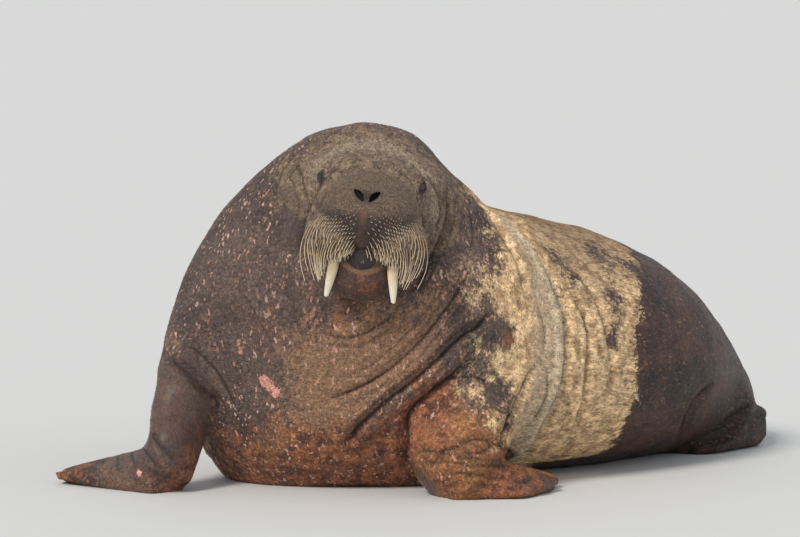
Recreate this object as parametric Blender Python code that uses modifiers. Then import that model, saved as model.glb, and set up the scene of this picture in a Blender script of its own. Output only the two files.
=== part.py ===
"""A life-size walrus resting on a floor, propped on its fore flippers with its face raised.

The row frame is in metres with +Z up. The floor is Z = 0, the face looks to -Y, and the trunk
trails off to +X and +Y. The origin lies on the floor under the flat of the belly.
Left and right are the animal's own, so its left fore flipper is on the +X side.
"""

import math

import bmesh
import bpy
import numpy as np
from mathutils import Matrix, Vector
from mathutils.bvhtree import BVHTree

# Gap that touching pieces keep.
GAP = 0.0003
# Cell and passes of the smoothing that rounds the joins of the large forms, then of all forms.
BROAD_CELL, BROAD_PASSES = 0.016, 26
FINE_CELL, FINE_PASSES = 0.0085, 5
# Triangles of the whole surface, as the body's nodes take it and as the head and feet do.
COARSE_TRIANGLES = 4200
FINE_TRIANGLES = 7600

# The trunk: floor position of the spine, height of the section's middle, half width and half height.
TRUNK = (
    (-0.38, -0.40, 0.44, 0.30, 0.26),
    (-0.24, -0.32, 0.43, 0.44, 0.38),
    (-0.06, -0.20, 0.405, 0.485, 0.405),
    (0.16, -0.04, 0.365, 0.475, 0.375),
    (0.38, 0.13, 0.33, 0.435, 0.345),
    (0.58, 0.30, 0.28, 0.345, 0.285),
    (0.72, 0.42, 0.215, 0.240, 0.215),
    (0.83, 0.51, 0.15, 0.155, 0.15),
    (0.90, 0.56, 0.12, 0.09, 0.10),
)
# The back of the neck, which slopes from the crown to the back.
NAPE = (
    (-0.23, -0.46, 0.70, 0.24, 0.25),
    (-0.20, -0.31, 0.66, 0.28, 0.305),
    (-0.15, -0.17, 0.61, 0.32, 0.295),
    (-0.05, -0.09, 0.54, 0.34, 0.275),
    (0.09, -0.04, 0.48, 0.35, 0.26),
)
TAIL_AT = Vector((0.930, 0.60, 0.070))
TAIL_SIZE = Vector((0.065, 0.050, 0.032))

# The chest and neck, as level slices: height, least and greatest x, front y and back y.
CHEST = (
    (-0.06, -0.52, 0.06, -0.36, 0.00),
    (0.00, -0.60, 0.13, -0.48, 0.02),
    (0.10, -0.655, 0.165, -0.59, 0.05),
    (0.22, -0.675, 0.19, -0.65, 0.07),
    (0.38, -0.735, 0.21, -0.685, 0.10),
    (0.55, -0.715, 0.20, -0.685, 0.06),
    (0.68, -0.65, 0.17, -0.665, -0.02),
    (0.80, -0.565, 0.12, -0.63, -0.13),
    (0.895, -0.466, 0.02, -0.59, -0.22),
    (0.96, -0.378, -0.034, -0.575, -0.26),
    (0.99, -0.315, -0.085, -0.54, -0.31),
    (1.006, -0.25, -0.15, -0.49, -0.38),
)
SHOULDER_AT, SHOULDER_SIZE = Vector((0.11, -0.34, 0.46)), Vector((0.24, 0.27, 0.30))

# The head's own frame: x to the animal's left, y backwards, z up, from midway between the eyes.
HEAD_AT = Vector((-0.177, -0.69, 0.857))
HEAD_ROLL = math.radians(6.0)
HEAD = (
    # y, z, half width, half height
    (0.24, -0.08, 0.235, 0.17),
    (0.13, -0.070, 0.212, 0.163),
    (0.05, -0.066, 0.182, 0.147),
    (-0.02, -0.070, 0.150, 0.133),
    (-0.08, -0.085, 0.138, 0.118),
    (-0.13, -0.098, 0.122, 0.100),
    (-0.172, -0.102, 0.092, 0.074),
)
MUZZLE = (
    # z, half width, front y
    (0.020, 0.062, -0.085),
    (-0.010, 0.092, -0.135),
    (-0.050, 0.120, -0.173),
    (-0.090, 0.138, -0.194),
    (-0.125, 0.138, -0.200),
    (-0.155, 0.112, -0.194),
    (-0.178, 0.065, -0.172),
)
PAD_AT = Vector((0.074, -0.108, -0.132))
PAD_SIZE = Vector((0.094, 0.100, 0.076))
PAD_TURN = 0.14
JAW_AT = Vector((0.0, -0.045, -0.226))
JAW_SIZE = Vector((0.115, 0.115, 0.088))
LIP_AT = Vector((0.0, -0.138, -0.192))
LIP_SIZE = Vector((0.060, 0.046, 0.036))

# The eyes, their lids, the nostrils and the ear pits, on the left side of the head's frame.
EYE_AT = Vector((0.124, -0.020, 0.007))
EYE_WAY = Vector((0.85, -0.51, 0.10)).normalized()
EYE_RADIUS = 0.020
LID_SIZE = Vector((0.024, 0.034, 0.030))
EYE_GAPE = Vector((0.012, 0.014, 0.0085))
NOSTRIL_AT = Vector((0.0175, -0.158, -0.019))
NOSTRIL_SIZE = Vector((0.0065, 0.036, 0.0125))
NOSTRIL_TURN = math.radians(-42)
EAR_AT = Vector((0.212, 0.105, -0.015))
EAR_SIZE = Vector((0.012, 0.010, 0.014))

# The tusks: root, bend and tip of the left one, and the radius at each.
TUSK = (
    (Vector((0.073, -0.105, -0.130)), 0.0165),
    (Vector((0.080, -0.140, -0.215)), 0.0150),
    (Vector((0.086, -0.142, -0.262)), 0.0115),
    (Vector((0.091, -0.134, -0.302)), 0.0055),
)

# The whiskers of one pad: rows from the top down, and hairs in a row from the middle outwards.
WHISKER_ROWS, WHISKERS_IN_ROW = 7, 9
WHISKER_ROOT, WHISKER_TIP = 0.0024, 0.0006
WHISKER_SHORT, WHISKER_LONG = 0.016, 0.082

# The fore limbs, from the shoulder inside the chest to the wrist: point, half width, half depth.
RIGHT_ARM = (
    (-0.58, -0.38, 0.44, 0.16, 0.18),
    (-0.665, -0.46, 0.33, 0.095, 0.13),
    (-0.712, -0.53, 0.17, 0.072, 0.095),
    (-0.740, -0.570, 0.045, 0.064, 0.080),
)
LEFT_ARM = (
    (0.14, -0.36, 0.34, 0.17, 0.17),
    (0.085, -0.54, 0.215, 0.150, 0.135),
    (0.048, -0.65, 0.12, 0.126, 0.100),
    (0.018, -0.685, 0.035, 0.112, 0.085),
)
# The same limbs below the fold of skin that they come out of.
RIGHT_FOREARM = (
    (-0.650, -0.440, 0.37, 0.068, 0.095),
    (-0.688, -0.498, 0.25, 0.078, 0.108),
    (-0.712, -0.53, 0.17, 0.073, 0.097),
    (-0.740, -0.570, 0.045, 0.064, 0.080),
)
LEFT_FOREARM = (
    (0.105, -0.48, 0.27, 0.135, 0.120),
    (0.080, -0.58, 0.19, 0.140, 0.120),
    (0.048, -0.65, 0.12, 0.126, 0.100),
    (0.018, -0.685, 0.035, 0.112, 0.083),
)
# Each hand: the wrist, then the tips of its digits from the leading edge back.
RIGHT_HAND = (
    Vector((-0.735, -0.575, 0.048)),
    (
        Vector((-1.076, -0.410, 0.024)),
        Vector((-1.055, -0.345, 0.016)),
        Vector((-1.010, -0.290, 0.012)),
        Vector((-0.952, -0.252, 0.011)),
        Vector((-0.880, -0.238, 0.010)),
    ),
)
LEFT_HAND = (
    Vector((0.050, -0.68, 0.060)),
    (
        Vector((0.245, -0.720, 0.012)),
        Vector((0.312, -0.650, 0.015)),
        Vector((0.345, -0.565, 0.018)),
        Vector((0.350, -0.475, 0.018)),
        Vector((0.325, -0.390, 0.014)),
    ),
)
# Half width and height of a fore flipper at the wrist, and its height at the edge.
FORE_PADDLE = (0.064, 0.068, 0.0270)
# The hind limbs: shank, then the ankle and the tips of the digits, for the left one.
SHANK_AT, SHANK_SIZE = Vector((0.815, 0.385, 0.12)), Vector((0.135, 0.125, 0.135))
LEFT_FOOT = (
    Vector((0.925, 0.435, 0.055)),
    (
        Vector((0.815, 0.185, 0.010)),
        Vector((0.755, 0.190, 0.008)),
        Vector((0.705, 0.205, 0.008)),
        Vector((0.660, 0.230, 0.008)),
        Vector((0.615, 0.275, 0.010)),
    ),
)
HIND_PADDLE = (0.070, 0.060, 0.0155)
# A line along the spine's rear on the floor, which the right hind limb is mirrored about.
RUMP_AT, RUMP_WAY = Vector((0.77, 0.46, 0)), Vector((0.755, 0.656, 0)).normalized()

# The places where the body is parted: a point on each plane and the way to the piece cut off.
HINDQUARTERS_CUT = (Vector((0.47, 0.21, 0.3)), Vector((0.77, 0.64, 0)))
ABDOMEN_CUT = (Vector((0.13, -0.05, 0.3)), Vector((0.77, 0.63, 0)))
NECK_CUT = (Vector((-0.2, -0.45, 0.63)), Vector((0, -0.6, 1.0)))
RIGHT_WRIST_CUT = (Vector((-0.755, -0.56, 0.08)), Vector((-0.85, 0.1, -0.45)))
LEFT_HAND_EGG = (Vector((0.240, -0.60, 0.01)), Vector((0.235, 0.26, 0.115)))
LEFT_FOOT_EGG = (Vector((0.80, 0.27, 0.02)), Vector((0.190, 0.205, 0.125)))
HEAD_EGG = (Vector((0, -0.02, -0.095)), Vector((0.25, 0.275, 0.268)))
PAD_CUT = Vector((0.102, 0.108, 0.084))
JAW_CUT = (Vector((0, -0.02, -0.190)), Vector((0, 0.10, -1.0)))
RIGHT_ARM_EGG = (Vector((-0.72, -0.50, 0.13)), Vector((0.145, 0.21, 0.235)))
LEFT_ARM_EGG = (Vector((0.085, -0.56, 0.145)), Vector((0.175, 0.225, 0.19)))
TAIL_EGG = (Vector((0.965, 0.625, 0.070)), Vector((0.085, 0.085, 0.070)))


def clear_scene():
    """Removes what the startup file holds."""
    for obj in list(bpy.data.objects):
        bpy.data.objects.remove(obj)


def mesh_object(name, mesh):
    """A new object in the part's collection."""
    obj = bpy.data.objects.new(name, mesh)
    bpy.data.collections["walrus"].objects.link(obj)
    return obj


def mesh_from(name, form):
    """An object from a bmesh, which is freed."""
    mesh = bpy.data.meshes.new(name)
    form.to_mesh(mesh)
    form.free()
    return mesh_object(name, mesh)


def spline(rows, steps):
    """Rows of numbers with steps - 1 more between each two, on a Catmull-Rom curve."""
    table = np.array(rows, float)
    ends = np.vstack([2 * table[0] - table[1], table, 2 * table[-1] - table[-2]])
    made = []
    for i in range(1, len(ends) - 2):
        a, b, c, d = ends[i - 1], ends[i], ends[i + 1], ends[i + 2]
        for t in np.arange(steps) / steps:
            made.append(
                0.5 * (2 * b + (c - a) * t + (2 * a - 5 * b + 4 * c - d) * t**2
                       + (3 * b - a - 3 * c + d) * t**3)
            )
    made.append(table[-1])
    return made


def tube(name, rings, bulge=0.45):
    """A closed body lofted through rings of points, with a cap at each end that bulges."""
    form = bmesh.new()
    loops = [[form.verts.new(p) for p in ring] for ring in rings]
    for low, high in zip(loops, loops[1:]):
        for i in range(len(low)):
            j = (i + 1) % len(low)
            form.faces.new((low[i], low[j], high[j], high[i]))
    for loop, inner in ((loops[0], loops[1]), (loops[-1], loops[-2])):
        middle = sum((v.co for v in loop), Vector()) / len(loop)
        before = sum((v.co for v in inner), Vector()) / len(inner)
        radius = sum((v.co - middle).length for v in loop) / len(loop)
        cap = form.verts.new(middle + (middle - before).normalized() * radius * bulge)
        for i in range(len(loop)):
            form.faces.new((loop[i], loop[(i + 1) % len(loop)], cap))
    bmesh.ops.recalc_face_normals(form, faces=form.faces)
    return mesh_from(name, form)


def ring(centre, across, along, sides, power=2.0):
    """Points round centre on a superellipse with the half-axis vectors across and along."""
    points = []
    for i in range(sides):
        angle = 2 * math.pi * i / sides
        c, s = math.cos(angle), math.sin(angle)
        u = math.copysign(abs(c) ** (2 / power), c)
        v = math.copysign(abs(s) ** (2 / power), s)
        points.append(centre + across * u + along * v)
    return points


def sweep(name, rows, sides, upright=False, power=2.0, steps=4, bulge=0.45):
    """A loft along a path of rows of x, y, z, half width and half height. The width is level."""
    rows = spline(rows, steps)
    rings = []
    for i, row in enumerate(rows):
        ahead, behind = rows[min(i + 1, len(rows) - 1)], rows[max(i - 1, 0)]
        way = Vector(ahead[:3] - behind[:3])
        if upright:
            way.z = 0
        way.normalize()
        across = way.cross(Vector((0, 0, 1))).normalized()
        rise = across.cross(way).normalized()
        rings.append(ring(Vector(row[:3]), across * row[3], rise * row[4], sides, power))
    return tube(name, rings, bulge)


def chest_form():
    """The chest and neck, a dome of level slices."""
    rings = []
    for z, low, high, front, back in spline(CHEST, 3):
        centre = Vector(((low + high) / 2, (front + back) / 2, z))
        across, along = Vector(((high - low) / 2, 0, 0)), Vector((0, (back - front) / 2, 0))
        rings.append(ring(centre, across, along, 40, 2.2))
    return tube("chest_form", rings)


def head_place():
    """The matrix from the head's own frame to the row frame."""
    return Matrix.Translation(HEAD_AT) @ Matrix.Rotation(HEAD_ROLL, 4, "Y")


def head_form():
    """The skull and muzzle without the whisker pads."""
    rings = []
    for y, z, half_width, half_height in spline(HEAD, 3):
        across, along = Vector((half_width, 0, 0)), Vector((0, 0, half_height))
        points = ring(Vector((0, y, z)), across, along, 36, 2.9)
        rings.append([head_place() @ p for p in points])
    return tube("head_form", rings)


def muzzle_form():
    """The muzzle from the nose down to the upper lip, in level slices of the head."""
    rings = []
    for z, half_width, front in spline(MUZZLE, 2):
        centre = Vector((0, (front + 0.05) / 2, z))
        across, along = Vector((half_width, 0, 0)), Vector((0, (0.05 - front) / 2, 0))
        rings.append([head_place() @ p for p in ring(centre, across, along, 36, 2.35)])
    return tube("muzzle_form", rings, 0.25)


def ball(name, centre, size, place=None, turn=0.0, segments=32):
    """An ellipsoid at centre with the half sizes of size, turned about its y axis."""
    form = bmesh.new()
    bmesh.ops.create_uvsphere(form, u_segments=segments, v_segments=segments // 2, radius=1)
    shape = Matrix.Diagonal((*size, 1))
    local = Matrix.Translation(centre) @ Matrix.Rotation(turn, 4, "Y") @ shape
    bmesh.ops.transform(form, matrix=(place or Matrix()) @ local, verts=form.verts)
    return mesh_from(name, form)


def mirrored(point):
    """A point of the left side in the frame of the head, on the right side."""
    return point * Vector((-1, 1, 1))


def across_rump(point):
    """A point of the left hind limb, on the right one."""
    side = RUMP_WAY.cross(Vector((0, 0, 1)))
    return point - side * (2 * (point - RUMP_AT).dot(side))


def paddle(name, root, tips, sizes):
    """A flipper's hand or foot: a web from the root to the tips, with a ridge for each digit."""
    wide, high, thin = sizes
    fan = spline([tuple(tip) for tip in tips], 8)
    reach = sum((Vector(p) - root for p in fan), Vector()) / len(fan)
    side = (Vector(fan[-1]) - Vector(fan[0])).normalized()
    rings = []
    for t in (0.0, 0.12, 0.25, 0.4, 0.55, 0.7, 0.82, 0.92, 0.98, 1.0):
        points = []
        for i in range(96):
            angle = 2 * math.pi * i / 96
            place = (1 - math.cos(angle)) / 2 * (len(fan) - 1)
            low = min(int(place), len(fan) - 2)
            tip = Vector(fan[low]).lerp(Vector(fan[low + 1]), place - low)
            ridge = math.cos(math.pi * place / 8) ** 2
            start = root + side * wide * (2 * place / (len(fan) - 1) - 1)
            point = start.lerp(tip, t * (0.90 + 0.10 * ridge))
            lead = 1.15 - 0.35 * place / (len(fan) - 1)
            thick = (high * (1 - t) ** 1.2 + thin) * lead * (1 - 0.45 * t**6)
            rise = math.sin(angle)
            if rise > 0:
                rise *= 1 - 0.34 * (1 - ridge) * min(1, 3 * t)
            else:
                rise *= 0.7
            point.z += math.copysign(abs(rise) ** 0.7, rise) * thick
            points.append(point)
        rings.append(points)
    return tube(name, rings, 0.02)


def block(name, point, way, half, depth, place=None):
    """A box with the middle of one face at point, that reaches by depth along way."""
    form = bmesh.new()
    bmesh.ops.create_cube(form, size=2)
    size = Matrix.Diagonal((half[0], half[1], depth / 2, 1))
    turn = way.to_track_quat("Z", "Y").to_matrix().to_4x4()
    local = Matrix.Translation(point) @ turn @ Matrix.Translation((0, 0, depth / 2)) @ size
    bmesh.ops.transform(form, matrix=(place or Matrix()) @ local, verts=form.verts)
    return mesh_from(name, form)


def settle(obj):
    """Applies an object's modifiers."""
    bpy.context.view_layer.update()
    graph = bpy.context.evaluated_depsgraph_get()
    made = bpy.data.meshes.new_from_object(obj.evaluated_get(graph))
    obj.modifiers.clear()
    obj.data = made
    return obj


def join_all(name, objects, solver="MANIFOLD"):
    """One closed body from overlapping ones, which are removed."""
    first, others = objects[0], objects[1:]
    group = bpy.data.collections.new("joined")
    for obj in others:
        group.objects.link(obj)
    union = first.modifiers.new("union", "BOOLEAN")
    union.operation, union.operand_type = "UNION", "COLLECTION"
    union.collection, union.solver = group, solver
    settle(first)
    for obj in others:
        bpy.data.objects.remove(obj)
    bpy.data.collections.remove(group)
    first.name = name
    return first


def rounded(obj, cell, passes):
    """The object's surface rebuilt in even cells and smoothed."""
    remesh = obj.modifiers.new("remesh", "REMESH")
    remesh.mode, remesh.voxel_size = "VOXEL", cell
    smooth = obj.modifiers.new("smooth", "SMOOTH")
    smooth.factor, smooth.iterations = 0.5, passes
    return settle(obj)


def copy_of(obj, name):
    """A separate copy of an object."""
    return mesh_object(name, obj.data.copy())


def thinned(obj, triangles):
    """The object with about that many triangles."""
    decimate = obj.modifiers.new("decimate", "DECIMATE")
    decimate.ratio = triangles / (2 * len(obj.data.polygons))
    decimate.use_collapse_triangulate = True
    return settle(obj)


def keep_largest(obj):
    """Removes all but the largest closed surface of an object."""
    form = bmesh.new()
    form.from_mesh(obj.data)
    left, parts = set(form.faces), []
    while left:
        part, queue = set(), [left.pop()]
        while queue:
            face = queue.pop()
            part.add(face)
            for edge in face.edges:
                for other in edge.link_faces:
                    if other in left:
                        left.remove(other)
                        queue.append(other)
        parts.append(part)
    best = max(parts, key=lambda part: sum(f.calc_area() for f in part))
    spare = [f for f in form.faces if f not in best]
    bmesh.ops.delete(form, geom=spare, context="FACES")
    form.to_mesh(obj.data)
    form.free()
    return obj


def cut(obj, cutter, operation="DIFFERENCE", solver="MANIFOLD"):
    """Cuts an object by another one, which stays."""
    boolean = obj.modifiers.new("cut", "BOOLEAN")
    boolean.operation, boolean.object, boolean.solver = operation, cutter, solver
    return settle(obj)


def part_off(name, source, rest, inner, outer):
    """The part of source inside inner. All of rest loses what outer holds."""
    piece = keep_largest(cut(copy_of(source, name), inner, "INTERSECT"))
    for obj in rest:
        cut(obj, outer)
    for cutter in (inner, outer):
        bpy.data.objects.remove(cutter)
    return piece


def part_by_block(name, source, rest, plane, half, depth, place=None):
    """The part of source beyond a plane, within a block on it."""
    point, way = plane
    way = way.normalized()
    inner = block("inner", point, way, half, depth, place)
    wider = (half[0] + GAP, half[1] + GAP)
    outer = block("outer", point - way * GAP, way, wider, depth + 2 * GAP, place)
    return part_off(name, source, rest, inner, outer)


def part_by_ball(name, source, rest, egg, place=None, turn=0.0):
    """The part of source inside an ellipsoid."""
    centre, size = egg
    inner = ball("inner", centre, size, place, turn, 18)
    grown = size + Vector((1, 1, 1)) * GAP * 1.6
    outer = ball("outer", centre, grown, place, turn, 18)
    return part_off(name, source, rest, inner, outer)


def whole_walrus():
    """All of the flesh as one smooth body, cut flat at the floor."""
    place = head_place()
    right_shank = across_rump(SHANK_AT)
    broad = [
        sweep("trunk", TRUNK, 40, upright=True, power=2.15, steps=3),
        sweep("nape", NAPE, 32),
        ball("shoulder", SHOULDER_AT, SHOULDER_SIZE),
        chest_form(),
        head_form(),
        sweep("right_arm", RIGHT_ARM, 24),
        sweep("left_arm", LEFT_ARM, 24),
        ball("left_shank", SHANK_AT, SHANK_SIZE),
        ball("right_shank", right_shank, SHANK_SIZE),
    ]
    body = rounded(join_all("body", broad), BROAD_CELL, BROAD_PASSES)
    right_root, right_tips = LEFT_FOOT
    forms = [
        body,
        head_form(),
        ball("pad_right", mirrored(PAD_AT), PAD_SIZE, place, -PAD_TURN),
        ball("pad_left", PAD_AT, PAD_SIZE, place, PAD_TURN),
        muzzle_form(),
        ball("jaw", JAW_AT, JAW_SIZE, place),
        ball("lip", LIP_AT, LIP_SIZE, place),
        ball("lids_left", EYE_AT, LID_SIZE, place),
        ball("lids_right", mirrored(EYE_AT), LID_SIZE, place),
        sweep("right_forearm", RIGHT_FOREARM, 24),
        sweep("left_forearm", LEFT_FOREARM, 24),
        ball("tail", TAIL_AT, TAIL_SIZE),
        paddle("right_hand", *RIGHT_HAND, FORE_PADDLE),
        paddle("left_hand", *LEFT_HAND, FORE_PADDLE),
        paddle("left_foot", *LEFT_FOOT, HIND_PADDLE),
        paddle(
            "right_foot",
            across_rump(right_root),
            [across_rump(p) for p in right_tips],
            HIND_PADDLE,
        ),
    ]
    return rounded(join_all("body", forms), FINE_CELL, FINE_PASSES)


def floor_cut(obj):
    """Cuts away what lies below the floor."""
    slab = block("floor", Vector((0, 0, 0)), Vector((0, 0, -1)), (3, 3), 1)
    cut(obj, slab)
    bpy.data.objects.remove(slab)
    return keep_largest(obj)


def tusk(name, side, spare=0.0):
    """One tusk in its place in the head, wider all round by spare."""
    rows = []
    for point, radius in TUSK:
        centre = head_place() @ Vector((point.x * side, point.y, point.z))
        rows.append((*centre, radius + spare, radius + spare))
    rings = []
    for row in spline(rows, 2):
        rings.append(ring(Vector(row[:3]), Vector((row[3], 0, 0)), Vector((0, row[4], 0)), 12))
    return tube(name, rings, 0.9)


def whisker(name, root, away, length):
    """One whisker: a spine of three sides that leaves the skin and droops."""
    down = Vector((0, 0, -1))
    side = away.cross(down).normalized()
    rings = []
    for t in (0.0, 0.5, 1.0):
        point = root + away * length * (0.62 * t - 0.22 * t * t) + down * length * 0.62 * t**1.5
        way = (away * (0.62 - 0.44 * t) + down * 0.93 * t**0.5).normalized()
        radius = WHISKER_ROOT + (WHISKER_TIP - WHISKER_ROOT) * t
        rings.append(ring(point, side * radius, side.cross(way).normalized() * radius, 3))
    return tube(name, rings, 0.6)


def whiskers(pad, side, others):
    """The whiskers of one pad, fused to it. Those that would touch others are left out."""
    place = head_place()
    centre = place @ Vector((PAD_AT.x * side, PAD_AT.y, PAD_AT.z))
    surface = BVHTree.FromObject(pad, bpy.context.evaluated_depsgraph_get())
    keep_off = [BVHTree.FromObject(o, bpy.context.evaluated_depsgraph_get()) for o in others]
    made = [pad]
    for row in range(WHISKER_ROWS):
        low = row / (WHISKER_ROWS - 1)
        for i in range(WHISKERS_IN_ROW):
            out = (i + (row % 2) * 0.5) / WHISKERS_IN_ROW
            turn = math.radians(-38 + 122 * out)
            tilt = math.radians(24 - 84 * low)
            way = Vector((
                side * math.sin(turn) * math.cos(tilt),
                -math.cos(turn) * math.cos(tilt),
                math.sin(tilt),
            ))
            way = place.to_3x3() @ way
            hit, normal, _, _ = surface.ray_cast(centre + way * 0.3, -way)
            if hit is None or normal.dot(way) < 0.2:
                continue
            length = WHISKER_SHORT + (WHISKER_LONG - WHISKER_SHORT) * low * (0.45 + 0.55 * out)
            away = (normal + way + Vector((0, -0.4, 0))).normalized()
            hair = whisker("whisker", hit - normal * 0.006, away, length)
            tree = BVHTree.FromObject(hair, bpy.context.evaluated_depsgraph_get())
            far = all(
                not tree.overlap(other)
                and min((other.find_nearest(v.co)[3] for v in hair.data.vertices)) > 3 * GAP
                for other in keep_off
            )
            if far:
                made.append(hair)
            else:
                bpy.data.objects.remove(hair)
    return join_all(pad.name, made)


def coloured(obj, name, colour, rough):
    """Gives an object one material."""
    material = bpy.data.materials.get(name) or bpy.data.materials.new(name)
    material.use_nodes = True
    shader = material.node_tree.nodes["Principled BSDF"]
    shader.inputs["Base Color"].default_value = (*colour, 1)
    shader.inputs["Roughness"].default_value = rough
    material.diffuse_color = (*colour, 1)
    obj.data.materials.clear()
    obj.data.materials.append(material)


def head_parts(head):
    """Parts the head and sets its eyes and tusks. Returns all nodes of the head."""
    place = head_place()
    nodes, rest = [], [head]
    for side, label in ((1, "left"), (-1, "right")):
        centre = Vector((PAD_AT.x * side, PAD_AT.y, PAD_AT.z))
        turn = PAD_TURN * side
        pad = part_by_ball(f"{label}_whisker_pad", head, rest, (centre, PAD_CUT), place, turn)
        nodes.append(pad)
    left, right = nodes
    for pad, other_side in ((left, -1), (right, 1)):
        point = Vector((0, 0, -0.1)) + Vector((-other_side, 0, 0)) * GAP
        wall = block("wall", point, Vector((other_side, 0, 0)), (0.5, 0.5), 0.5, place)
        cut(pad, wall)
        bpy.data.objects.remove(wall)
        keep_largest(pad)
    jaw = part_by_block("lower_jaw", head, rest, JAW_CUT, (0.2, 0.13), 0.2, place)
    nodes.append(jaw)
    for side, label in ((1, "left"), (-1, "right")):
        for flesh in (head, *nodes):
            if flesh.name in (f"{label}_whisker_pad", "head", "lower_jaw"):
                socket = tusk("socket", side, GAP * 1.3)
                cut(flesh, socket)
                bpy.data.objects.remove(socket)
    for obj in (head, left, right, jaw):
        keep_largest(obj)
    tusks, eyes = [], []
    for side, label in ((1, "left"), (-1, "right")):
        tusks.append(tusk(f"{label}_tusk", side))
        at = Vector((EYE_AT.x * side, EYE_AT.y, EYE_AT.z))
        socket = ball("socket", at, Vector((1, 1, 1)) * (EYE_RADIUS + GAP * 1.5), place)
        cut(head, socket)
        bpy.data.objects.remove(socket)
        eyes.append(ball(f"{label}_eye", at, Vector((1, 1, 1)) * EYE_RADIUS, place, 0, 16))
        way = Vector((EYE_WAY.x * side, EYE_WAY.y, EYE_WAY.z))
        turned = place @ Matrix.Translation(at + way * EYE_RADIUS) @ way.to_track_quat(
            "X", "Z"
        ).to_matrix().to_4x4()
        gape = ball("gape", Vector(), EYE_GAPE, turned, 0, 14)
        cut(head, gape)
        bpy.data.objects.remove(gape)
        nostril = ball(
            "nostril",
            Vector((NOSTRIL_AT.x * side, NOSTRIL_AT.y, NOSTRIL_AT.z)),
            NOSTRIL_SIZE,
            place,
            -NOSTRIL_TURN * side,
            12,
        )
        cut(head, nostril)
        bpy.data.objects.remove(nostril)
        ear = ball("ear", Vector((EAR_AT.x * side, EAR_AT.y, EAR_AT.z)), EAR_SIZE, place, 0, 10)
        cut(head, ear)
        bpy.data.objects.remove(ear)
    keep_largest(head)
    for side, pad in ((1, left), (-1, right)):
        others = [head, jaw, *tusks, left if pad is right else right]
        whiskers(pad, side, others)
    return [head, left, right, jaw], tusks, eyes


def main():
    """Builds the walrus."""
    clear_scene()
    collection = bpy.data.collections.new("walrus")
    bpy.context.scene.collection.children.link(collection)
    body = whole_walrus()
    fine = floor_cut(thinned(copy_of(body, "fine"), FINE_TRIANGLES))
    rest = floor_cut(thinned(body, COARSE_TRIANGLES))
    flesh = []
    head = part_by_ball("head", fine, [rest], HEAD_EGG, head_place())
    both, wrist = [rest, fine], (0.3, 0.3)
    flesh.append(part_by_block("right_fore_flipper", fine, both, RIGHT_WRIST_CUT, wrist, 0.4))
    flesh.append(part_by_ball("left_fore_flipper", fine, both, LEFT_HAND_EGG))
    flesh.append(part_by_ball("tail", fine, both, TAIL_EGG))
    at, size = LEFT_FOOT_EGG
    flesh.append(part_by_ball("left_hind_flipper", fine, both, (at, size)))
    flesh.append(part_by_ball("right_hind_flipper", fine, both, (across_rump(at), size)))
    flesh.append(part_by_ball("right_arm", rest, [rest], RIGHT_ARM_EGG))
    flesh.append(part_by_ball("left_arm", rest, [rest], LEFT_ARM_EGG))
    for name, plane in (
        ("hindquarters", HINDQUARTERS_CUT),
        ("abdomen", ABDOMEN_CUT),
        ("neck", NECK_CUT),
    ):
        flesh.append(part_by_block(name, rest, [rest], plane, (1.5, 1.5), 2.0))
    rest.name = "chest"
    flesh.append(keep_largest(rest))
    bpy.data.objects.remove(fine)
    head_flesh, tusks, eyes = head_parts(head)
    for obj in flesh + head_flesh:
        coloured(obj, "skin", (0.16, 0.10, 0.07), 0.6)
    for obj in tusks:
        coloured(obj, "ivory", (0.72, 0.64, 0.48), 0.35)
    for obj in eyes:
        coloured(obj, "eye", (0.02, 0.012, 0.01), 0.1)


main()
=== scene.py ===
"""Looks of the walrus: hide, coat, whiskers, eyes and tusks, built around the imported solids.

All sizes are in metres in the row frame, with +Z up. Left and right are the animal's own. Creases
and marks that show in the photo are given as the photo's pixels and set on the hide they lie on.
"""

import logging
import math
from collections.abc import Callable, Sequence
from dataclasses import dataclass, field
from enum import Enum

import bmesh
import bpy
import numpy as np
from mathutils import Matrix, Vector, noise
from mathutils.bvhtree import BVHTree

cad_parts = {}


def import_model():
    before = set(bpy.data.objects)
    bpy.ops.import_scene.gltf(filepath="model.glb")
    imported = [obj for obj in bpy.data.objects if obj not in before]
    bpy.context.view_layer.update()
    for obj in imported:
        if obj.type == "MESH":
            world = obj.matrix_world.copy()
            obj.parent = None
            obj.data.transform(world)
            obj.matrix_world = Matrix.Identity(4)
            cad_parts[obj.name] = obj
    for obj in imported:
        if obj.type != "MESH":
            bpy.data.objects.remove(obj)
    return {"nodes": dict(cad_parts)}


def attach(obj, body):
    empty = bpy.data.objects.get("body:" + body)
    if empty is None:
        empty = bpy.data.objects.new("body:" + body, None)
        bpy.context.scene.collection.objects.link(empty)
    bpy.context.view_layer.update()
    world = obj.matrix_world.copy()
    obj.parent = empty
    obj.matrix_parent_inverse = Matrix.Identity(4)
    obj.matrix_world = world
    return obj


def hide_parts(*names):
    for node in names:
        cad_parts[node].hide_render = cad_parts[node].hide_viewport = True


LOG = logging.getLogger("walrus")

Array = np.ndarray
Pair = tuple[float, float]
Triple = tuple[float, float, float]
Numbers = tuple[float, ...]
Pixels = tuple[Pair, ...]
Rows = tuple[tuple[float, float, float, float], ...]
Form = bmesh.types.BMesh
Material = bpy.types.Material
Mesh = bpy.types.Mesh
Node = bpy.types.Node
Object = bpy.types.Object
Socket = bpy.types.NodeSocket
Tree = bpy.types.NodeTree


class Slot(Enum):
    """The record's material slots."""

    SKIN = "skin"
    IVORY = "ivory"
    EYE = "eye"


class Side(Enum):
    """The animal's own sides, as the sign of x in the head's frame."""

    LEFT = 1
    RIGHT = -1

    @property
    def label(self) -> str:
        """The side's name as it stands in the names of nodes."""
        return self.name.lower()


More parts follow.
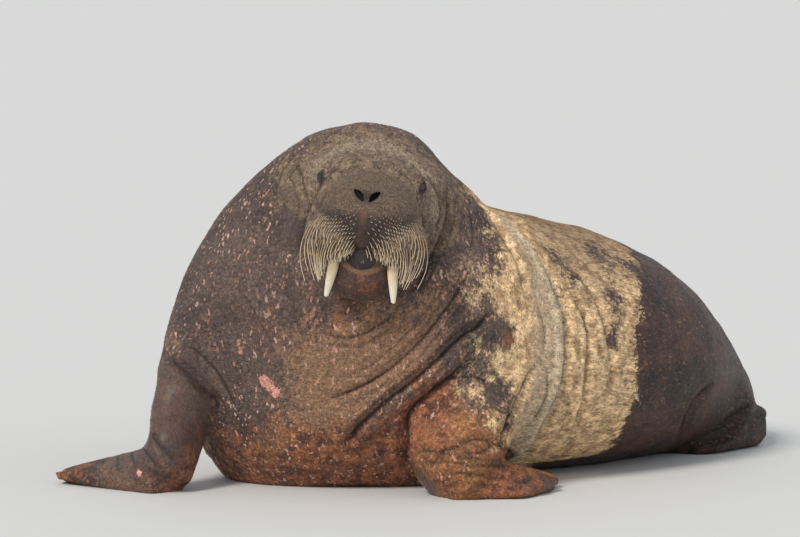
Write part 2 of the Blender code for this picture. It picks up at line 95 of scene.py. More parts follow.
class Flesh(Enum):
    """The solids of flesh that the hide replaces, by their names."""

    HEAD = "head"
    LEFT_PAD = "left_whisker_pad"
    RIGHT_PAD = "right_whisker_pad"
    JAW = "lower_jaw"
    NECK = "neck"
    CHEST = "chest"
    ABDOMEN = "abdomen"
    HINDQUARTERS = "hindquarters"
    LEFT_ARM = "left_arm"
    RIGHT_ARM = "right_arm"
    LEFT_FORE = "left_fore_flipper"
    RIGHT_FORE = "right_fore_flipper"
    LEFT_HIND = "left_hind_flipper"
    RIGHT_HIND = "right_hind_flipper"
    TAIL = "tail"

    @property
    def node(self) -> str:
        """The name of the solid."""
        return self.value

    @property
    def copied(self) -> bool:
        """Whether the hide takes its form from a copy: the pads have forms of their own."""
        return self not in (Flesh.LEFT_PAD, Flesh.RIGHT_PAD)


def paint(red: int, green: int, blue: int) -> tuple[float, float, float, float]:
    """A colour as the shaders take it, from its eight-bit values.

    Args:
        red: The red value.
        green: The green value.
        blue: The blue value.

    Returns:
        The linear colour with alpha 1.
    """
    parts = []
    for value in (red / 255, green / 255, blue / 255):
        parts.append(value / 12.92 if value <= 0.04045 else ((value + 0.055) / 1.055) ** 2.4)
    return (*parts, 1.0)


def ease(value: Array, low: float, high: float) -> Array:
    """A smooth step from 0 at low to 1 at high.

    Args:
        value: The numbers to test.
        low: Where the step starts.
        high: Where it ends.

    Returns:
        The step's value for each number.
    """
    t = np.clip((value - low) / (high - low), 0, 1)
    return t * t * (3 - 2 * t)


def spline(rows: Sequence[Sequence[float]], steps: int) -> list[Array]:
    """Rows of numbers with more between them, on a Catmull-Rom curve.

    Args:
        rows: The rows that the curve passes.
        steps: How many stretches each gap is divided into.

    Returns:
        The rows of the finer table.
    """
    table = np.array(rows, float)
    ends = np.vstack([2 * table[0] - table[1], table, 2 * table[-1] - table[-2]])
    made = []
    for i in range(1, len(ends) - 2):
        a, b, c, d = ends[i - 1], ends[i], ends[i + 1], ends[i + 2]
        for t in np.arange(steps) / steps:
            made.append(
                0.5 * (2 * b + (c - a) * t + (2 * a - 5 * b + 4 * c - d) * t**2
                       + (3 * b - a - 3 * c + d) * t**3)
            )
    made.append(table[-1])
    return made


def places(mesh: Mesh, what: str = "co") -> Array:
    """The places of a mesh's vertices, one row each, or their normals.

    Args:
        mesh: The mesh.
        what: Which of their values is read.

    Returns:
        The rows.
    """
    flat = np.empty(len(mesh.vertices) * 3)
    mesh.vertices.foreach_get(what, flat)
    return flat.reshape(-1, 3)


def normals(mesh: Mesh) -> Array:
    """The normals of a mesh's vertices, one row each."""
    return places(mesh, "normal")


def move_to(mesh: Mesh, points: Array) -> None:
    """Sets the places of a mesh's vertices."""
    mesh.vertices.foreach_set("co", points.astype(np.float32).ravel())
    mesh.update()


def linked(name: str, mesh: Mesh) -> Object:
    """A new object in the scene with that mesh."""
    made = bpy.data.objects.new(name, mesh)
    bpy.context.scene.collection.objects.link(made)
    return made


def cast(name: str, form: Form) -> Object:
    """A new object in the scene from a form, which is freed.

    Args:
        name: The object's name.
        form: The form.

    Returns:
        The object.
    """
    mesh = bpy.data.meshes.new(name)
    form.to_mesh(mesh)
    form.free()
    return linked(name, mesh)


def settled(made: Object) -> Object:
    """Turns an object's modifiers into plain mesh."""
    bpy.context.view_layer.update()
    graph = bpy.context.evaluated_depsgraph_get()
    mesh = bpy.data.meshes.new_from_object(made.evaluated_get(graph), depsgraph=graph)
    made.modifiers.clear()
    made.data = mesh
    return made


def loft(form: Form, rings: list[list[Vector]], bulge: float = 0.45) -> None:
    """Adds a closed body through rings of points, with a cap at each end that bulges.

    Args:
        form: The mesh that it is added to.
        rings: The rings, alike in their number of points.
        bulge: The height of each cap, as a share of its ring's radius.
    """
    loops = [[form.verts.new(p) for p in ring] for ring in rings]
    faces = []
    for low, high in zip(loops, loops[1:]):
        for i in range(len(low)):
            j = (i + 1) % len(low)
            faces.append(form.faces.new((low[i], low[j], high[j], high[i])))
    for loop, inner in ((loops[0], loops[1]), (loops[-1], loops[-2])):
        middle = sum((v.co for v in loop), Vector()) / len(loop)
        before = sum((v.co for v in inner), Vector()) / len(inner)
        radius = sum((v.co - middle).length for v in loop) / len(loop)
        cap = form.verts.new(middle + (middle - before).normalized() * radius * bulge)
        for i in range(len(loop)):
            faces.append(form.faces.new((loop[i], loop[(i + 1) % len(loop)], cap)))
    bmesh.ops.recalc_face_normals(form, faces=faces)


def oval(centre: Vector, across: Vector, along: Vector, sides: int, power: float) -> list[Vector]:
    """Points round a superellipse.

    Args:
        centre: Its middle.
        across: One half axis.
        along: The other half axis.
        sides: The number of points.
        power: 2 for an ellipse, more for a squarer form.

    Returns:
        The points in order.
    """
    points = []
    for i in range(sides):
        angle = 2 * math.pi * i / sides
        c, s = math.cos(angle), math.sin(angle)
        u = math.copysign(abs(c) ** (2 / power), c)
        v = math.copysign(abs(s) ** (2 / power), s)
        points.append(centre + across * u + along * v)
    return points


@dataclass(frozen=True)
class PhotoView:
    """Where the photo was taken from, which turns its pixels into lines of sight."""

    scale: float = 365.0
    distance: float = 14.0
    rise: float = math.radians(5.5)
    width: int = 800
    height: int = 537
    target: Triple = (-0.10, -0.55, 0.615)
    film: float = 36.0

    @property
    def back(self) -> Vector:
        """The way from the target to the camera."""
        return Vector((0, -math.cos(self.rise), math.sin(self.rise)))

    @property
    def place(self) -> Vector:
        """Where the camera stands."""
        return Vector(self.target) + self.back * self.distance

    def spot(self, pixel: Pair, tree: BVHTree) -> Vector | None:
        """The place on a surface that a pixel of the photo shows.

        Args:
            pixel: Columns from the left and rows from the top.
            tree: The surface.

        Returns:
            The place, or None where the line of sight misses.
        """
        focus = self.scale * self.distance
        right = Vector((1, 0, 0))
        above = right.cross(-self.back)
        way = -self.back + right * ((pixel[0] - self.width / 2) / focus)
        way += above * ((self.height / 2 - pixel[1]) / focus)
        return tree.ray_cast(self.place, way.normalized())[0]

    def spots(self, pixels: Sequence[Sequence[float]], tree: BVHTree) -> Array:
        """The places on a surface that pixels of the photo show, without those that miss it."""
        found = [self.spot(tuple(p), tree) for p in pixels]
        return np.array([tuple(p) for p in found if p is not None]).reshape(-1, 3)

    def camera(self) -> Object:
        """Makes the camera and the scene's view of it.

        Returns:
            The camera's object.
        """
        lens = bpy.data.cameras.new("photo_view")
        lens.sensor_width = self.film
        lens.lens = self.film * self.scale * self.distance / self.width
        lens.clip_end = 300
        made = bpy.data.objects.new("photo_view", lens)
        made.location = self.place
        made.rotation_euler = (-self.back).to_track_quat("-Z", "Y").to_euler()
        bpy.context.scene.collection.objects.link(made)
        bpy.context.scene.camera = made
        return made


@dataclass(frozen=True)
class HeadFrame:
    """The head's own frame: x to the left, y backwards, z up, from midway between the eyes."""

    at: Triple = (-0.177, -0.69, 0.857)
    roll: float = math.radians(6.0)

    @property
    def matrix(self) -> Matrix:
        """From the head's frame to the row frame."""
        return Matrix.Translation(self.at) @ Matrix.Rotation(self.roll, 4, "Y")

    def local(self, points: Array) -> Array:
        """Places of the row frame in the head's frame."""
        turn = np.array(self.matrix.to_3x3())
        return (points - np.array(self.at)) @ turn

    def world(self, points: Array) -> Array:
        """Places of the head's frame in the row frame."""
        turn = np.array(self.matrix.to_3x3())
        return points @ turn.T + np.array(self.at)


@dataclass
class Spine:
    """The line through the body that its fur lies along, from the nose to the tail."""

    line: tuple[Numbers, ...] = (
        (-0.18, -0.92, 0.76),
        (-0.178, -0.76, 0.79),
        (-0.178, -0.60, 0.79),
        (-0.185, -0.46, 0.70),
        (-0.18, -0.35, 0.56),
        (-0.13, -0.26, 0.45),
        (-0.02, -0.17, 0.40),
        (0.16, -0.04, 0.365),
        (0.38, 0.13, 0.33),
        (0.58, 0.30, 0.28),
        (0.72, 0.42, 0.215),
        (0.83, 0.51, 0.15),
        (0.97, 0.62, 0.07),
    )
    softness: float = 0.03
    trunk_at: Pair = (-0.06, -0.20)
    trunk_way: Pair = (0.784, 0.621)

    def __post_init__(self) -> None:
        """Works out the places and axes along the line."""
        self.middle = np.array(spline(self.line, 4))
        steps = np.diff(self.middle, axis=0)
        lengths = np.linalg.norm(steps, axis=1)
        self.reach = np.concatenate([[0], np.cumsum(lengths)])
        way = np.gradient(self.middle, axis=0)
        self.way = way / np.linalg.norm(way, axis=1)[:, None]
        share = ease(self.reach, 0.35, 0.9)[:, None]
        level = np.array([[1.0, 0, 0]]) * (1 - share)
        level = level + np.array([[self.trunk_way[1], -self.trunk_way[0], 0]]) * share
        level -= self.way * (level * self.way).sum(1)[:, None]
        self.level = level / np.linalg.norm(level, axis=1)[:, None]
        self.rise = np.cross(self.level, self.way)

    def measure(self, points: Array) -> tuple[Array, Array, Array]:
        """Where places lie along and round the line.

        Args:
            points: The places, one row each.

        Returns:
            Their reach along the line with their places across it, the line's way there, and
            their angle round it as a share of a turn.
        """
        flow, way = np.empty_like(points), np.empty_like(points)
        for start in range(0, len(points), 20000):
            part = points[start:start + 20000]
            gap = np.linalg.norm(part[:, None] - self.middle[None], axis=2)
            weight = np.exp(-(gap - gap.min(1, keepdims=True)) / self.softness)
            weight /= weight.sum(1, keepdims=True)
            off = part - weight @ self.middle
            flow[start:start + 20000, 0] = weight @ self.reach
            flow[start:start + 20000, 1] = (off * (weight @ self.level)).sum(1)
            flow[start:start + 20000, 2] = (off * (weight @ self.rise)).sum(1)
            way[start:start + 20000] = weight @ self.way
        turn = np.arctan2(flow[:, 1], flow[:, 2]) / (2 * math.pi) + 0.5
        return flow, way / np.linalg.norm(way, axis=1)[:, None], turn

    def along(self, points: Array) -> Array:
        """How far places lie along the level line of the trunk."""
        return (points[:, :2] - np.array(self.trunk_at)) @ np.array(self.trunk_way)

    def mirrored(self, points: Array) -> Array:
        """Places carried over to the far side of the trunk."""
        across = np.array([self.trunk_way[1], -self.trunk_way[0]])
        off = (points[:, :2] - np.array(self.trunk_at)) @ across
        made = points.copy()
        made[:, :2] -= 2 * off[:, None] * across
        return made


@dataclass(frozen=True)
class Groove:
    """A line pressed into the hide: its points with the strength at each, and its section."""

    points: Array
    depth: float
    width: float
    roll: float
    # How dark the painted shade along the groove is.
    dark: float

    def near(self, places_at: Array, reach: float) -> tuple[Array, Array, Array]:
        """Which places lie near the line.

        Args:
            places_at: The places to test, one row each.
            reach: How far from the line to look.

        Returns:
            The numbers of the places, their distances from the line and the strength there.
        """
        line = self.points[:, :3]
        low, high = line.min(0) - reach, line.max(0) + reach
        index = np.flatnonzero(((places_at > low) & (places_at < high)).all(1))
        if not len(index):
            return index, np.zeros(0), np.zeros(0)
        gap = np.linalg.norm(places_at[index][:, None] - line[None], axis=2)
        return index, gap.min(1), self.points[gap.argmin(1), 3]


@dataclass(frozen=True)
class Crease:
    """A crease in the hide along a line of the photo, with the roll of skin beside it.

    Echoes are the finer creases beside it, as their distances from it in pixels.
    """

    pixels: Pixels
    depth: float = 0.006
    width: float = 0.010
    roll: float = 0.002
    # How dark the painted shade along the crease is.
    dark: float = 1.0
    both_sides: bool = False
    echoes: Numbers = ()

    def laid(self, view: PhotoView, tree: BVHTree, spine: Spine) -> list[Groove]:
        """The crease as close points on the hide.

        Args:
            view: The photo's view.
            tree: The hide's surface.
            spine: The body's line, for the far side.

        Returns:
            The grooves that it makes.
        """
        rows = np.array(spline(self.pixels, 12))
        way = np.gradient(rows, axis=0)
        across = np.column_stack([-way[:, 1], way[:, 0]])
        across /= np.linalg.norm(way, axis=1)[:, None]
        made = []
        for shift in (0.0, *self.echoes):
            start = 0 if shift == 0 else int(len(rows) * 0.12)
            moved = rows + across * shift
            points = view.spots(moved[start:len(rows) - start], tree)
            if len(points) < 4:
                continue
            lines = [points]
            if self.both_sides:
                far = [tree.find_nearest(Vector(p))[0] for p in spine.mirrored(points)]
                lines.append(np.array([tuple(p) for p in far]))
            size, thin = (1.0, 1.0) if shift == 0 else (0.24, 0.55)
            for line in lines:
                share = np.linspace(0, 1, len(line))
                strength = 0.12 + 0.88 * ease(share, 0, 0.14) * ease(1 - share, 0, 0.14)
                made.append(Groove(
                    np.column_stack([line, strength]), self.depth * size, self.width * thin,
                    self.roll * size, self.dark * (0.6 if shift else 1.0),
                ))
        return made


@dataclass(frozen=True)
class Creases:
    """All creases of the hide."""

    chest: tuple[Crease, ...] = (
        Crease(((476, 262), (466, 279), (458, 292), (448, 307), (434, 325), (420, 342),
                (397, 364), (370, 383), (341, 396), (322, 402)), 0.009, 0.009, 0.004,
               echoes=(-9, 7, 15)),
        Crease(((499, 311), (487, 318), (479, 327), (463, 337), (447, 352), (439, 360),
                (426, 372), (409, 386), (390, 400), (374, 414), (360, 427), (349, 440),
                (344, 448)), 0.020, 0.012, 0.009, both_sides=True, echoes=(-8, 8)),
        Crease(((475, 361), (462, 369), (450, 379), (438, 388), (426, 397), (415, 406),
                (407, 417), (405, 429), (405, 452), (407, 476)), 0.020, 0.012, 0.008),
        Crease(((450, 379), (458, 378), (470, 377), (482, 379), (494, 384)), 0.007, 0.009),
        Crease(((535, 364), (526, 382), (517, 404), (508, 424), (502, 440), (498, 449)),
               0.012, 0.013, 0.004, both_sides=True),
        Crease(((508, 410), (510, 421), (505, 434), (500, 446)), 0.008, 0.009, 0.002),
        Crease(((322, 333), (341, 338), (361, 335), (380, 325), (397, 312)), 0.004, 0.008,
               echoes=(9,)),
        Crease(((394, 366), (378, 378), (360, 388), (340, 397)), 0.003, 0.006),
        Crease(((232, 281), (248, 303), (262, 326), (274, 346)), 0.0015, 0.006, 0.0, 0.5),
        Crease(((284, 287), (296, 310), (309, 327)), 0.0015, 0.006, 0.0, 0.5),
    )
    limbs: tuple[Crease, ...] = (
        Crease(((167, 354), (175, 363), (186, 372), (197, 382), (208, 393), (217, 404),
                (217, 417)), 0.012, 0.010, 0.006, echoes=(-7,)),
        Crease(((188, 343), (204, 358), (217, 373), (226, 389), (234, 406)), 0.003, 0.009),
        Crease(((147, 428), (152, 438), (160, 448), (170, 456), (176, 460)), 0.006, 0.006,
               0.002, echoes=(-4,)),
        Crease(((141, 445), (148, 456), (155, 465), (165, 472)), 0.006, 0.006, 0.002),
        Crease(((133, 447), (132, 456), (135, 468)), 0.004, 0.005, 0.001),
        Crease(((120, 452), (117, 462), (118, 473)), 0.0025, 0.005, 0.001, echoes=(-5,)),
        Crease(((104, 458), (102, 468)), 0.002, 0.005, 0.001),
        Crease(((410, 460), (421, 450), (438, 451), (456, 446), (473, 439), (487, 440),
                (501, 447), (516, 458)), 0.009, 0.008, 0.004),
        Crease(((462, 450), (470, 453), (482, 452), (490, 446), (487, 440)), 0.004, 0.006,
               0.001),
        Crease(((423, 466), (447, 462), (470, 466), (493, 465), (515, 468), (540, 471)),
               0.005, 0.006, 0.002, 0.7),
        Crease(((426, 455), (447, 454), (462, 458), (482, 459), (505, 461)), 0.004, 0.005,
               0.002, 0.7),
        Crease(((440, 476), (465, 474), (490, 477), (515, 480), (537, 482)), 0.005, 0.006,
               0.002, 0.7),
        Crease(((450, 487), (480, 485), (510, 488), (525, 489)), 0.004, 0.006, 0.002, 0.7),
        Crease(((418, 462), (428, 476), (446, 488)), 0.003, 0.006, 0.001, 0.5),
        Crease(((716, 382), (698, 400), (687, 418), (678, 442)), 0.010, 0.014, 0.004,
               both_sides=True),
        Crease(((757, 402), (736, 415), (714, 431), (691, 442), (682, 449)),
               0.012, 0.012, 0.004, both_sides=True),
    )
    flank: tuple[Crease, ...] = (
        Crease(((472, 194), (486, 208), (499, 227), (509, 246), (520, 265), (526, 301)),
               0.010, 0.010, 0.005, 0.7, both_sides=True),
        Crease(((504, 217), (516, 219), (531, 242), (545, 264), (554, 284), (564, 308),
                (567, 333), (567, 360), (564, 382), (555, 404), (542, 429), (526, 453)),
               0.014, 0.011, 0.008, 0.7, both_sides=True),
        Crease(((542, 261), (564, 284), (577, 302), (586, 320), (590, 342), (588, 369),
                (584, 400), (575, 427), (562, 449)), 0.010, 0.010, 0.006, 0.6,
               both_sides=True, echoes=(-7,)),
        Crease(((573, 264), (591, 290), (602, 315), (609, 342), (612, 369), (612, 400)),
               0.007, 0.010, 0.004, 0.5, both_sides=True),
        Crease(((595, 424), (575, 438), (564, 453)), 0.006, 0.008, 0.002, 0.8,
               both_sides=True),
        Crease(((548, 372), (548, 392), (541, 410), (531, 424)), 0.005, 0.008, 0.002, 0.8),
        Crease(((538, 300), (545, 330), (545, 360)), 0.004, 0.008, 0.002, 0.4),
    )
    neck: tuple[Crease, ...] = (
        Crease(((448, 182), (448, 201), (447, 219), (442, 237), (433, 255), (427, 268),
                (418, 283), (410, 294)), 0.011, 0.009, 0.005, echoes=(-7, 8)),
        Crease(((450, 171), (461, 183), (471, 196), (473, 206)), 0.006, 0.009),
        Crease(((424, 174), (434, 186), (440, 202), (440, 217), (433, 232), (427, 242)),
               0.006, 0.007, 0.003, 0.8),
        Crease(((472, 210), (475, 232), (470, 252)), 0.004, 0.007, echoes=(-8,)),
        Crease(((307, 144), (293, 156), (283, 167), (276, 186), (272, 210)), 0.006, 0.008,
               0.002, 0.8, echoes=(-8,)),
        Crease(((292, 157), (300, 175), (303, 189), (307, 202), (306, 216), (300, 236),
                (297, 256)), 0.008, 0.009, 0.005, echoes=(9,)),
    )
    face: tuple[Crease, ...] = (
        Crease(((319, 187), (314, 197), (310, 208), (305, 220), (302, 230)), 0.007, 0.007,
               0.002, 0.9),
        Crease(((417, 194), (420, 204), (423, 216), (425, 229)), 0.007, 0.007, 0.002, 0.9),
        Crease(((365, 206), (364, 217), (363, 232), (362, 248)), 0.004, 0.005, 0.001, 0.25),
        Crease(((324, 180), (328, 175), (333, 171), (341, 166)), 0.006, 0.005, 0.003, 0.8),
        Crease(((415, 187), (411, 181), (406, 176), (400, 171)), 0.006, 0.005, 0.003, 0.8),
        Crease(((313, 178), (316, 168), (322, 161), (331, 156)), 0.005, 0.006, 0.003, 0.5),
        Crease(((426, 190), (424, 178), (418, 168), (410, 161)), 0.005, 0.006, 0.003, 0.5),
        Crease(((327, 190), (321, 204), (315, 216)), 0.004, 0.006, 0.002, 0.5),
        Crease(((363, 249), (352, 253), (343, 259), (336, 264)), 0.006, 0.006, 0.0, 0.9),
        Crease(((363, 249), (373, 253), (381, 260), (388, 266)), 0.006, 0.006, 0.0, 0.9),
    )

    @property
    def everywhere(self) -> tuple[Crease, ...]:
        """The creases in the order they are pressed in."""
        return self.chest + self.limbs + self.flank + self.neck + self.face


@dataclass(frozen=True)
class Face:
    """The forms of the head, in the head's frame, that the hide is drawn over."""

    skull: tuple[Numbers, ...] = (
        (0.24, -0.08, 0.235, 0.17),
        (0.13, -0.070, 0.212, 0.163),
        (0.05, -0.066, 0.182, 0.147),
        (-0.02, -0.070, 0.150, 0.133),
        (-0.08, -0.085, 0.138, 0.118),
        (-0.13, -0.098, 0.122, 0.100),
        (-0.172, -0.102, 0.092, 0.074),
    )
    muzzle: tuple[Numbers, ...] = (
        (0.020, 0.062, -0.085),
        (-0.010, 0.092, -0.135),
        (-0.050, 0.120, -0.173),
        (-0.090, 0.138, -0.194),
        (-0.125, 0.138, -0.200),
        (-0.155, 0.112, -0.194),
        (-0.178, 0.065, -0.172),
    )
    sides: int = 64
    skull_power: float = 2.9
    muzzle_power: float = 2.35
    muzzle_back: float = 0.05
    muzzle_bulge: float = 0.25
    pad_at: Triple = (0.074, -0.108, -0.132)
    pad_size: Triple = (0.094, 0.100, 0.076)
    pad_turn: float = 0.14
    jaw_at: Triple = (0.0, -0.045, -0.226)
    jaw_size: Triple = (0.115, 0.115, 0.088)
    lip_at: Triple = (0.0, -0.138, -0.192)
    lip_size: Triple = (0.058, 0.046, 0.035)
    nose_at: Triple = (-0.006, -0.150, -0.030)
    nose_size: Triple = (0.050, 0.022, 0.036)
    socket_size: Triple = (0.024, 0.032, 0.028)

    def build(self, form: Form, frame: HeadFrame, eye_at: Vector) -> None:
        """Adds all forms of the head.

        Args:
            form: The mesh that they are added to.
            frame: The head's frame.
            eye_at: The middle of the left eye.
        """
        place = frame.matrix
        rings = []
        for y, z, wide, high in spline(self.skull, 4):
            ring = oval(
                Vector((0, y, z)), Vector((wide, 0, 0)), Vector((0, 0, high)), self.sides,
                self.skull_power,
            )
            rings.append([place @ p for p in ring])
        loft(form, rings)
        rings = []
        for z, wide, front in spline(self.muzzle, 4):
            middle = Vector((0, (front + self.muzzle_back) / 2, z))
            deep = Vector((0, (self.muzzle_back - front) / 2, 0))
            ring = oval(middle, Vector((wide, 0, 0)), deep, self.sides, self.muzzle_power)
            rings.append([place @ p for p in ring])
        loft(form, rings, self.muzzle_bulge)
        for side in Side:
            sign = side.value
            pad = Vector((self.pad_at[0] * sign, *self.pad_at[1:]))
            self.ball(form, pad, self.pad_size, place, self.pad_turn * sign)
            eye = Vector((eye_at.x * sign, eye_at.y, eye_at.z))
            self.ball(form, eye, self.socket_size, place)
        for at, size in (
            (self.jaw_at, self.jaw_size), (self.lip_at, self.lip_size),
            (self.nose_at, self.nose_size),
        ):
            self.ball(form, Vector(at), size, place)

    def ball(
        self, form: Form, centre: Vector, size: Triple, place: Matrix, turn: float = 0.0
    ) -> None:
        """Adds an ellipsoid.

        Args:
            form: The mesh that it is added to.
            centre: Its middle in the head's frame.
            size: Its half sizes.
            place: The head's place.
            turn: Its turn about its y axis.
        """
        local = Matrix.Translation(centre) @ Matrix.Rotation(turn, 4, "Y")
        matrix = place @ local @ Matrix.Diagonal((*size, 1))
        bmesh.ops.create_uvsphere(form, u_segments=48, v_segments=24, radius=1, matrix=matrix)


@dataclass(frozen=True)
class EyeForm:
    """An eye and its lids, on the left side of the head's frame."""

    at: Triple = (0.124, -0.020, 0.007)
    way: Triple = (0.74, -0.66, 0.10)
    radius: float = 0.0195
    half_slit: float = 0.0180
    half_gape: float = 0.0105
    tilt: float = math.radians(58)
    lid: float = 0.0055
    fold: float = 0.0022
    hollow: float = -0.004
    reach: float = 0.07
    spread: float = 0.036

    def axes(self, side: Side) -> tuple[Array, Array, Array, Array]:
        """The eye's middle, the way it looks, the way of its slit and the way across that.

        Args:
            side: The side of the head.

        Returns:
            The four, in the head's frame.
        """
        flip = np.array([side.value, 1, 1])
        way = np.array(self.way) / np.linalg.norm(self.way)
        back = np.cross(np.array([0, 0, 1.0]), way)
        back /= np.linalg.norm(back)
        above = np.cross(way, back)
        slit = back * math.cos(self.tilt) + above * math.sin(self.tilt)
        across = np.cross(way, slit)
        return np.array(self.at) * flip, way * flip, slit * flip, across * flip

    def shaped(self, points: Array, side: Side) -> tuple[Array, Array]:
        """Opens the lids round an eye.

        Args:
            points: Places of the hide in the head's frame.
            side: The side of the head.

        Returns:
            The new places, and how much each belongs to the rim of the lids.
        """
        middle, way, slit, across = self.axes(side)
        off = points - middle
        gap = np.maximum(np.linalg.norm(off, axis=1), 1e-6)
        near = (gap < self.reach) & (off @ way > 0)
        p, q = off @ slit, off @ across
        inside = np.clip(1 - (p / self.half_slit) ** 2, 0, 1)
        beyond = np.maximum(np.abs(p) - self.half_slit, 0)
        edge = np.hypot(np.abs(q) - self.half_gape * inside, beyond)
        edge = np.where((beyond <= 0) & (np.abs(q) < self.half_gape * inside), -edge, edge)
        roll = self.lid * ease(edge, -0.0005, 0.0035) * (1 - 0.55 * ease(edge, 0.005, 0.016))
        groove = self.fold * np.exp(-(((edge - 0.0115) / 0.0025) ** 2))
        aim = self.radius + np.where(edge < 0, self.hollow, 0.0004 + roll - groove)
        share = near * (1 - ease(np.hypot(p, q), 0.016, self.spread))
        made = points + (off / gap[:, None]) * ((aim - gap) * share)[:, None]
        # The dark lid colour reaches from the rim into the inner corner below the eye: dark lid
        # skin, with painted shade in that corner.
        tear = 1 - ease(np.hypot((p + 0.011) / 0.035, q / 0.022), 0.65, 1.1)
        rim = near * np.maximum(1 - ease(edge, 0.005, 0.013), 0.95 * tear)
        return made, rim


@dataclass(frozen=True)
class Nostrils:
    """The two slits of the nose, in the head's frame, as x and z of the left one's line."""

    line: tuple[Triple, ...] = (
        (0.0320, -0.0095, 0.0040),
        (0.0270, -0.0130, 0.0072),
        (0.0200, -0.0190, 0.0088),
        (0.0140, -0.0255, 0.0068),
        (0.0105, -0.0310, 0.0032),
    )
    middle: float = -0.0095
    depth: float = 0.024
    rim: float = 0.0036

    def shaped(self, points: Array) -> tuple[Array, Array]:
        """Presses the slits into the nose and raises their rims.

        Args:
            points: Places of the hide in the head's frame.

        Returns:
            The new places, and how much each is inside a slit.
        """
        made, recess_shade = points.copy(), np.zeros(len(points))
        line = np.array(spline(self.line, 8))
        for side in Side:
            near = (points[:, 1] < -0.10) & (np.abs(points[:, 2] + 0.02) < 0.06)
            index = np.flatnonzero(near)
            flat = points[index][:, [0, 2]] - np.array([self.middle, 0])
            away = flat[:, None] - line[None, :, :2] * np.array([side.value, 1])
            gap = np.linalg.norm(away, axis=2)
            nearest = gap.argmin(1)
            ratio = gap[np.arange(len(index)), nearest] / line[nearest, 2]
            made[index, 1] += self.depth * (1 - ease(ratio, 0.45, 1.15))
            lift = np.exp(-(((ratio - 1.75) / 0.45) ** 2))
            made[index, 1] -= self.rim * lift * (0.6 + 0.4 * ease(flat[:, 1], -0.03, -0.01))
            # How far each place lies inside a slit, which the colours paint near-black as shade.
            recess_shade[index] = np.maximum(recess_shade[index], 1 - ease(ratio, 0.7, 1.25))
        return made, recess_shade


